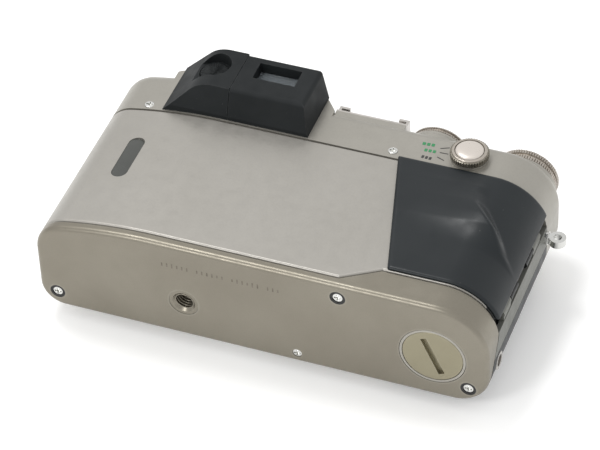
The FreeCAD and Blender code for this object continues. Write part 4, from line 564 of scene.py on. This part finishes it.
def topDial(name, nodeName, foot):
    low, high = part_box(nodeName)
    spot = boxMiddle(nodeName)
    radius = (high.x - low.x) / 2 / mm
    top = high.z / mm
    tall = top - foot
    row = (tall - dialLook["groove"] - 0.5) / 2
    parts = []
    for index in range(2):
        centre = foot + 0.1 + row / 2 + index * (row + dialLook["groove"])
        parts.append(knurledDrum(name + "Row", (spot.x, spot.y, centre), radius, row, "z",
                                 dialLook["ribs"], dialLook["proud"], dialLook["gap"]))
    core = addRod(name + "Core", radius - 0.42, tall, (spot.x, spot.y, foot + tall / 2), "z", 96)
    pickEdges(core, lambda a, b: a.z > top - 0.01 and b.z > top - 0.01)
    bpy.ops.mesh.bevel(offset=0.35 * mm, segments=3)
    closeEdit()
    pickFaces(core, lambda centre, normal: centre.z > top - 0.01 and normal.z > 0.9)
    bpy.ops.mesh.inset(thickness=dialLook["rimInset"] * mm)
    bpy.ops.mesh.inset(thickness=0.08 * mm, depth=-dialLook["faceDrop"] * mm)
    closeEdit()
    return joinAll(name, [core] + parts), spot, radius, top


def dialMarks(name, words, spot, radius, level, height, start, step):
    parts = []
    for index, word in enumerate(words):
        clearSelection()
        bpy.ops.object.text_add(location=(0, 0, 0))
        text = bpy.context.active_object
        text.data.body = word
        text.data.size = height * mm
        text.data.extrude = 0.02 * mm
        text.data.resolution_u = 3
        text.data.align_x, text.data.align_y = "CENTER", "CENTER"
        bpy.ops.object.convert(target="MESH")
        piece = bpy.context.active_object
        angle = math.radians(start + step * index)
        piece.location = ((spot.x + radius * math.cos(angle)) * mm, (spot.y + radius * math.sin(angle)) * mm,
                          level * mm)
        piece.rotation_euler = (0, 0, angle - math.pi / 2)
        parts.append(settle(piece))
    return joinAll(name, parts)


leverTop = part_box("bracket_lever")[1].z / mm
exposure, spot, radius, top = topDial("exposureDial", "exposure_dial", leverTop + 0.1)
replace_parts(dress(exposure, "dialChampagne", "exposure_selector", 30),
            "exposure_dial")
steps = ["2", "1", "0", "1", "2"]
dress(dialMarks("exposureNumbers", steps, spot, radius - 2.6, top - 0.1, 2.1, 30, 30), "markDark",
      "exposure_selector", 0)
shutter, spot, radius, top = topDial("shutterDial", "shutter_dial", 65.6)
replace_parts(dress(shutter, "dialChampagne", "shutter_selector", 30), "shutter_dial")
speeds = ["1", "2", "4", "8", "15", "30", "60", "125", "250", "500"]
dress(dialMarks("shutterNumbers", speeds, spot, radius - 2.4, top - 0.1, 1.7, 20, 32), "markDark",
      "shutter_selector", 0)
print("top dials made")

# Focus selector: coarse knurled ring with a domed button.
focusLook = {"ribs": 44, "proud": 0.42, "gap": 0.17, "tall": 1.95, "step": 0.35, "crownIn": 0.5, "bevel": 0.3,
             "lip": 0.42, "seam": 0.02, "recess": 1.75, "wellIn": 1.3, "wellDown": 1.65, "wellTall": 0.1,
             "wellRim": 0.3, "wellDip": 0.03}
buttonLook = {"wider": 0.3, "tall": 0.6,
              "dome": ((0.12, 0.14), (0.4, 0.17), (0.8, 0.14), (0.9, 0.07), (0.9, 0.02))}
low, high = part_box("focus_dial")
spot = boxMiddle("focus_dial")
focusRadius = (high.x - low.x) / 2 / mm
ringFoot, ringTop = high.y / mm - focusLook["tall"], high.y / mm
ringMiddle = (spot.x, (ringFoot + ringTop - focusLook["step"]) / 2, spot.z)
ring = knurledDrum("focusRing", ringMiddle, focusRadius, ringTop - focusLook["step"] - ringFoot, "y",
                   focusLook["ribs"], focusLook["proud"], focusLook["gap"])
crown = addRod("focusCrown", focusRadius - focusLook["crownIn"], ringTop - ringFoot,
               (spot.x, (ringFoot + ringTop) / 2, spot.z), "y", 72)
pickEdges(crown, lambda a, b: a.y > ringTop - 0.01 and b.y > ringTop - 0.01)
bpy.ops.mesh.bevel(offset=focusLook["bevel"] * mm, segments=3)
closeEdit()
pickFaces(crown, lambda centre, normal: normal.y > 0.9 and centre.y > ringTop - 0.01)
bpy.ops.mesh.inset(thickness=focusLook["lip"] * mm)
bpy.ops.mesh.inset(thickness=focusLook["seam"] * mm, depth=-focusLook["recess"] * mm)
closeEdit()
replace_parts(dress(crown, "dialChampagne", "focus_selector", 30), "focus_dial")
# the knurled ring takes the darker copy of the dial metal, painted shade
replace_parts(dress(ring, "dialChampagneShaded", "focus_selector", 30), "focus_dial")
well = addRod("focusWell", focusRadius - focusLook["wellIn"], focusLook["wellTall"],
              (spot.x, ringTop - focusLook["wellDown"], spot.z), "y", 48)
pickFaces(well, lambda centre, normal: normal.y > 0.9)
bpy.ops.mesh.inset(thickness=focusLook["wellRim"] * mm, depth=-focusLook["wellDip"] * mm)
closeEdit()
dress(well, "blackSteel", "focus_selector")

low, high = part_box("focus_lock_button")
buttonFoot, buttonRadius = low.y / mm, (high.x - low.x) / 2 / mm + buttonLook["wider"]
button = addRod("focusButton", buttonRadius, buttonLook["tall"],
                (spot.x, buttonFoot + buttonLook["tall"] / 2, spot.z), "y", 64)
for inset, rise in buttonLook["dome"]:
    pickFaces(button, lambda centre, normal: normal.y > 0.999 and centre.y > buttonFoot + 0.5)
    bpy.ops.mesh.inset(thickness=inset * mm, depth=rise * mm)
    closeEdit()
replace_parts(dress(button, "buttonPearl", "focus_button", 60),
            "focus_lock_button")
print("focus selector made")

# Focus marks: short bars and index lines in place of letters.
markLook = {"thick": 0.08, "barHigh": 1.1, "barGap": 0.35, "lineHigh": 0.28, "corner": 0.2}
dial = boxMiddle("focus_dial")
# each mark is placed across and up from the dial's middle, and has its length and lean
barSpots = (("markGreen", 12.3, 1.9, 3.8, 0.06), ("markGreen", 11.1, -0.5, 3.6, 0.03),
            ("markDark", 11.2, -3.4, 3.2, -0.05))
lineSpots = ((7.6, 1.8, 2.6, 0.42), (7.2, -0.3, 2.4, 0.02), (7.4, -2.7, 2.4, -0.36))
greenBars, darkBars = [], []


def shortEdge(a, b):
    return abs(a.x - b.x) < markLook["corner"] and abs(a.z - b.z) < markLook["corner"]


for finishName, across, level, long, lean in barSpots:
    for index in range(3):
        share = (index - 1) * long / 3
        bar = addBlock("focusBar", (long / 3 - markLook["barGap"], markLook["thick"], markLook["barHigh"]),
                       (dial.x + across + share, backPlane, dial.z + level - share * lean), (0, lean, 0))
        pickEdges(bar, shortEdge)
        bpy.ops.mesh.bevel(offset=0.12 * mm, segments=2)
        closeEdit()
        (greenBars if finishName == "markGreen" else darkBars).append(bar)
for across, level, long, lean in lineSpots:
    line = addBlock("focusLine", (long, markLook["thick"], markLook["lineHigh"]),
                    (dial.x + across, backPlane, dial.z + level), (0, lean, 0))
    pickEdges(line, shortEdge)
    bpy.ops.mesh.bevel(offset=0.1 * mm, segments=2)
    closeEdit()
    darkBars.append(line)
dress(joinAll("focusMarksGreen", greenBars), "markGreen", "camera_body", 0)
dress(joinAll("focusMarksDark", darkBars), "markDark", "camera_body", 0)
print("focus marks made")

# Dioptre wheel: dark disc with a fan of ribs.
dioptreLook = {"blades": 30, "gap": 0.12, "proud": 0.2}
low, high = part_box("dioptre_wheel")
spot = boxMiddle("dioptre_wheel")
wheelRadius = (high.x - low.x) / 2 / mm
wheelTop = high.y / mm - 0.25
wheel = addRod("dioptreDisc", wheelRadius - 0.1, wheelTop - low.y / mm,
               (spot.x, (wheelTop + low.y / mm) / 2, spot.z), "y", dioptreLook["blades"], "TRIFAN")
pickFaces(wheel, lambda centre, normal: normal.y > 0.9)
bpy.ops.mesh.inset(thickness=dioptreLook["gap"] * mm, depth=dioptreLook["proud"] * mm, use_individual=True)
closeEdit()
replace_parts(dress(wheel, "housingBlack", "dioptre_control", 25), "dioptre_wheel")
print("dioptre wheel made")

# Strap ring at each side: a rounded eye over the flat lug.
strapLook = {"ring": 1.72, "wire": 0.6, "lugRadius": 2.3}
for side, nodeName in (("grip", "grip_side_lug"), ("latch", "latch_side_lug")):
    low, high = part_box(nodeName)
    outer = low.x / mm if side == "grip" else high.x / mm
    centre = outer + (strapLook["lugRadius"] if side == "grip" else -strapLook["lugRadius"])
    middle = boxMiddle(nodeName)
    clearSelection()
    bpy.ops.mesh.primitive_torus_add(major_segments=48, minor_segments=14,
                                     major_radius=strapLook["ring"] * mm,
                                     minor_radius=strapLook["wire"] * mm, rotation=axisTurn["y"],
                                     location=(centre * mm, middle.y * mm, middle.z * mm))
    eye = settle(bpy.context.active_object)
    pickFaces(eye, lambda centre, normal: True)
    bpy.ops.transform.resize(value=(0.98, 1.0, 0.98),
                             center_override=(centre * mm, middle.y * mm, middle.z * mm))
    closeEdit()
    eye.name = side + "StrapEye"
    dress(eye, "brightSteel", "camera_body", 60)
print("strap eyes made")

# Base marks: a faint row of short generic strokes.
tickLook = {"start": 5.5, "end": -27.5, "up": 12.7, "count": 24, "wide": 0.4, "tall": 1.25, "thick": 0.02}
ticks = []
for index in range(tickLook["count"]):
    share = index / (tickLook["count"] - 1)
    if index % 7 == 6:
        continue
    tall = tickLook["tall"] * (0.75 + 0.5 * chance.random())
    ticks.append(addBlock("baseTick", (tickLook["wide"], tall, tickLook["thick"]),
                          (socketSpot.x + tickLook["start"] + share * (tickLook["end"] - tickLook["start"]),
                           socketSpot.y + tickLook["up"], 0.0)))
baseTicks = joinAll("baseTicks", ticks)
pickEdges(baseTicks, lambda a, b: abs(a.x - b.x) < 0.001 and abs(a.y - b.y) < 0.001)
bpy.ops.mesh.bevel(offset=0.08 * mm, segments=2)
closeEdit()
dress(baseTicks, "markFaint", "camera_body", 0)
print("base marks made")

# Studio.
studio = {"floorGap": 0.1 * mm, "floorSize": 3.0, "floorColour": (0.93, 0.93, 0.925, 1),
          "floorGlow": 0.16, "worldColour": (1.0, 1.0, 1.0, 1), "worldStrength": 0.9}
lampLooks = {
    "keyLight": {"place": (0.5, 1.3, 0.35), "size": 0.42, "power": 5.7},
    "rimLight": {"place": (0.4, 0.95, -0.95), "size": 0.35, "power": 4.2},
}
# place is in mm, and turn in degrees about x, y and z
viewLook = {"lens": 184.4, "sensor": 36, "place": (-229.5, 569.7, -535.2),
            "turn": (136.35, -20.29, -178.04), "nearest": 0.01, "furthest": 20}


def makeFloor():
    # the table the camera lies on, front down; it only shows from the object's side
    clearSelection()
    bpy.ops.mesh.primitive_plane_add(size=studio["floorSize"], location=(0, cadLow.y - studio["floorGap"], 0),
                                     rotation=(-math.pi / 2, 0, 0))
    floor = bpy.context.active_object
    floor.name = "studioTable"
    material = bpy.data.materials.new("tableWhite")
    material.use_nodes = True
    tree = material.node_tree
    shader = tree.nodes["Principled BSDF"]
    shader.inputs["Base Color"].default_value = studio["floorColour"]
    shader.inputs["Roughness"].default_value = 0.75
    shader.inputs["Specular IOR Level"].default_value = 0.2
    shader.inputs["Emission Color"].default_value = (1, 1, 1, 1)
    shader.inputs["Emission Strength"].default_value = studio["floorGlow"]
    clear = tree.nodes.new("ShaderNodeBsdfTransparent")
    pick = tree.nodes.new("ShaderNodeMixShader")
    side = tree.nodes.new("ShaderNodeNewGeometry")
    tree.links.new(side.outputs["Backfacing"], pick.inputs[0])
    tree.links.new(shader.outputs[0], pick.inputs[1])
    tree.links.new(clear.outputs[0], pick.inputs[2])
    tree.links.new(pick.outputs[0], tree.nodes["Material Output"].inputs["Surface"])
    floor.data.materials.append(material)


def makeLight(name, look):
    light = bpy.data.lights.new(name, "AREA")
    light.shape = "DISK"
    light.size = look["size"]
    light.energy = look["power"]
    holder = bpy.data.objects.new(name, light)
    bpy.context.scene.collection.objects.link(holder)
    holder.location = look["place"]
    holder.rotation_mode = "QUATERNION"
    holder.rotation_quaternion = (Vector((0, 0, 0.035)) - Vector(look["place"])).to_track_quat("-Z", "Y")


def makeWorld():
    world = bpy.data.worlds.new("paleStudio")
    world.use_nodes = True
    background = world.node_tree.nodes["Background"]
    background.inputs["Color"].default_value = studio["worldColour"]
    background.inputs["Strength"].default_value = studio["worldStrength"]
    bpy.context.scene.world = world


def makeCamera():
    data = bpy.data.cameras.new("viewCamera")
    data.lens, data.sensor_width = viewLook["lens"], viewLook["sensor"]
    data.clip_start, data.clip_end = viewLook["nearest"], viewLook["furthest"]
    holder = bpy.data.objects.new("viewCamera", data)
    bpy.context.scene.collection.objects.link(holder)
    holder.location = [value * mm for value in viewLook["place"]]
    holder.rotation_euler = [math.radians(angle) for angle in viewLook["turn"]]
    bpy.context.scene.camera = holder


makeFloor()
makeWorld()
makeCamera()
for name, look in lampLooks.items():
    makeLight(name, look)
bpy.context.scene.view_settings.view_transform = "Standard"
print("studio ready")
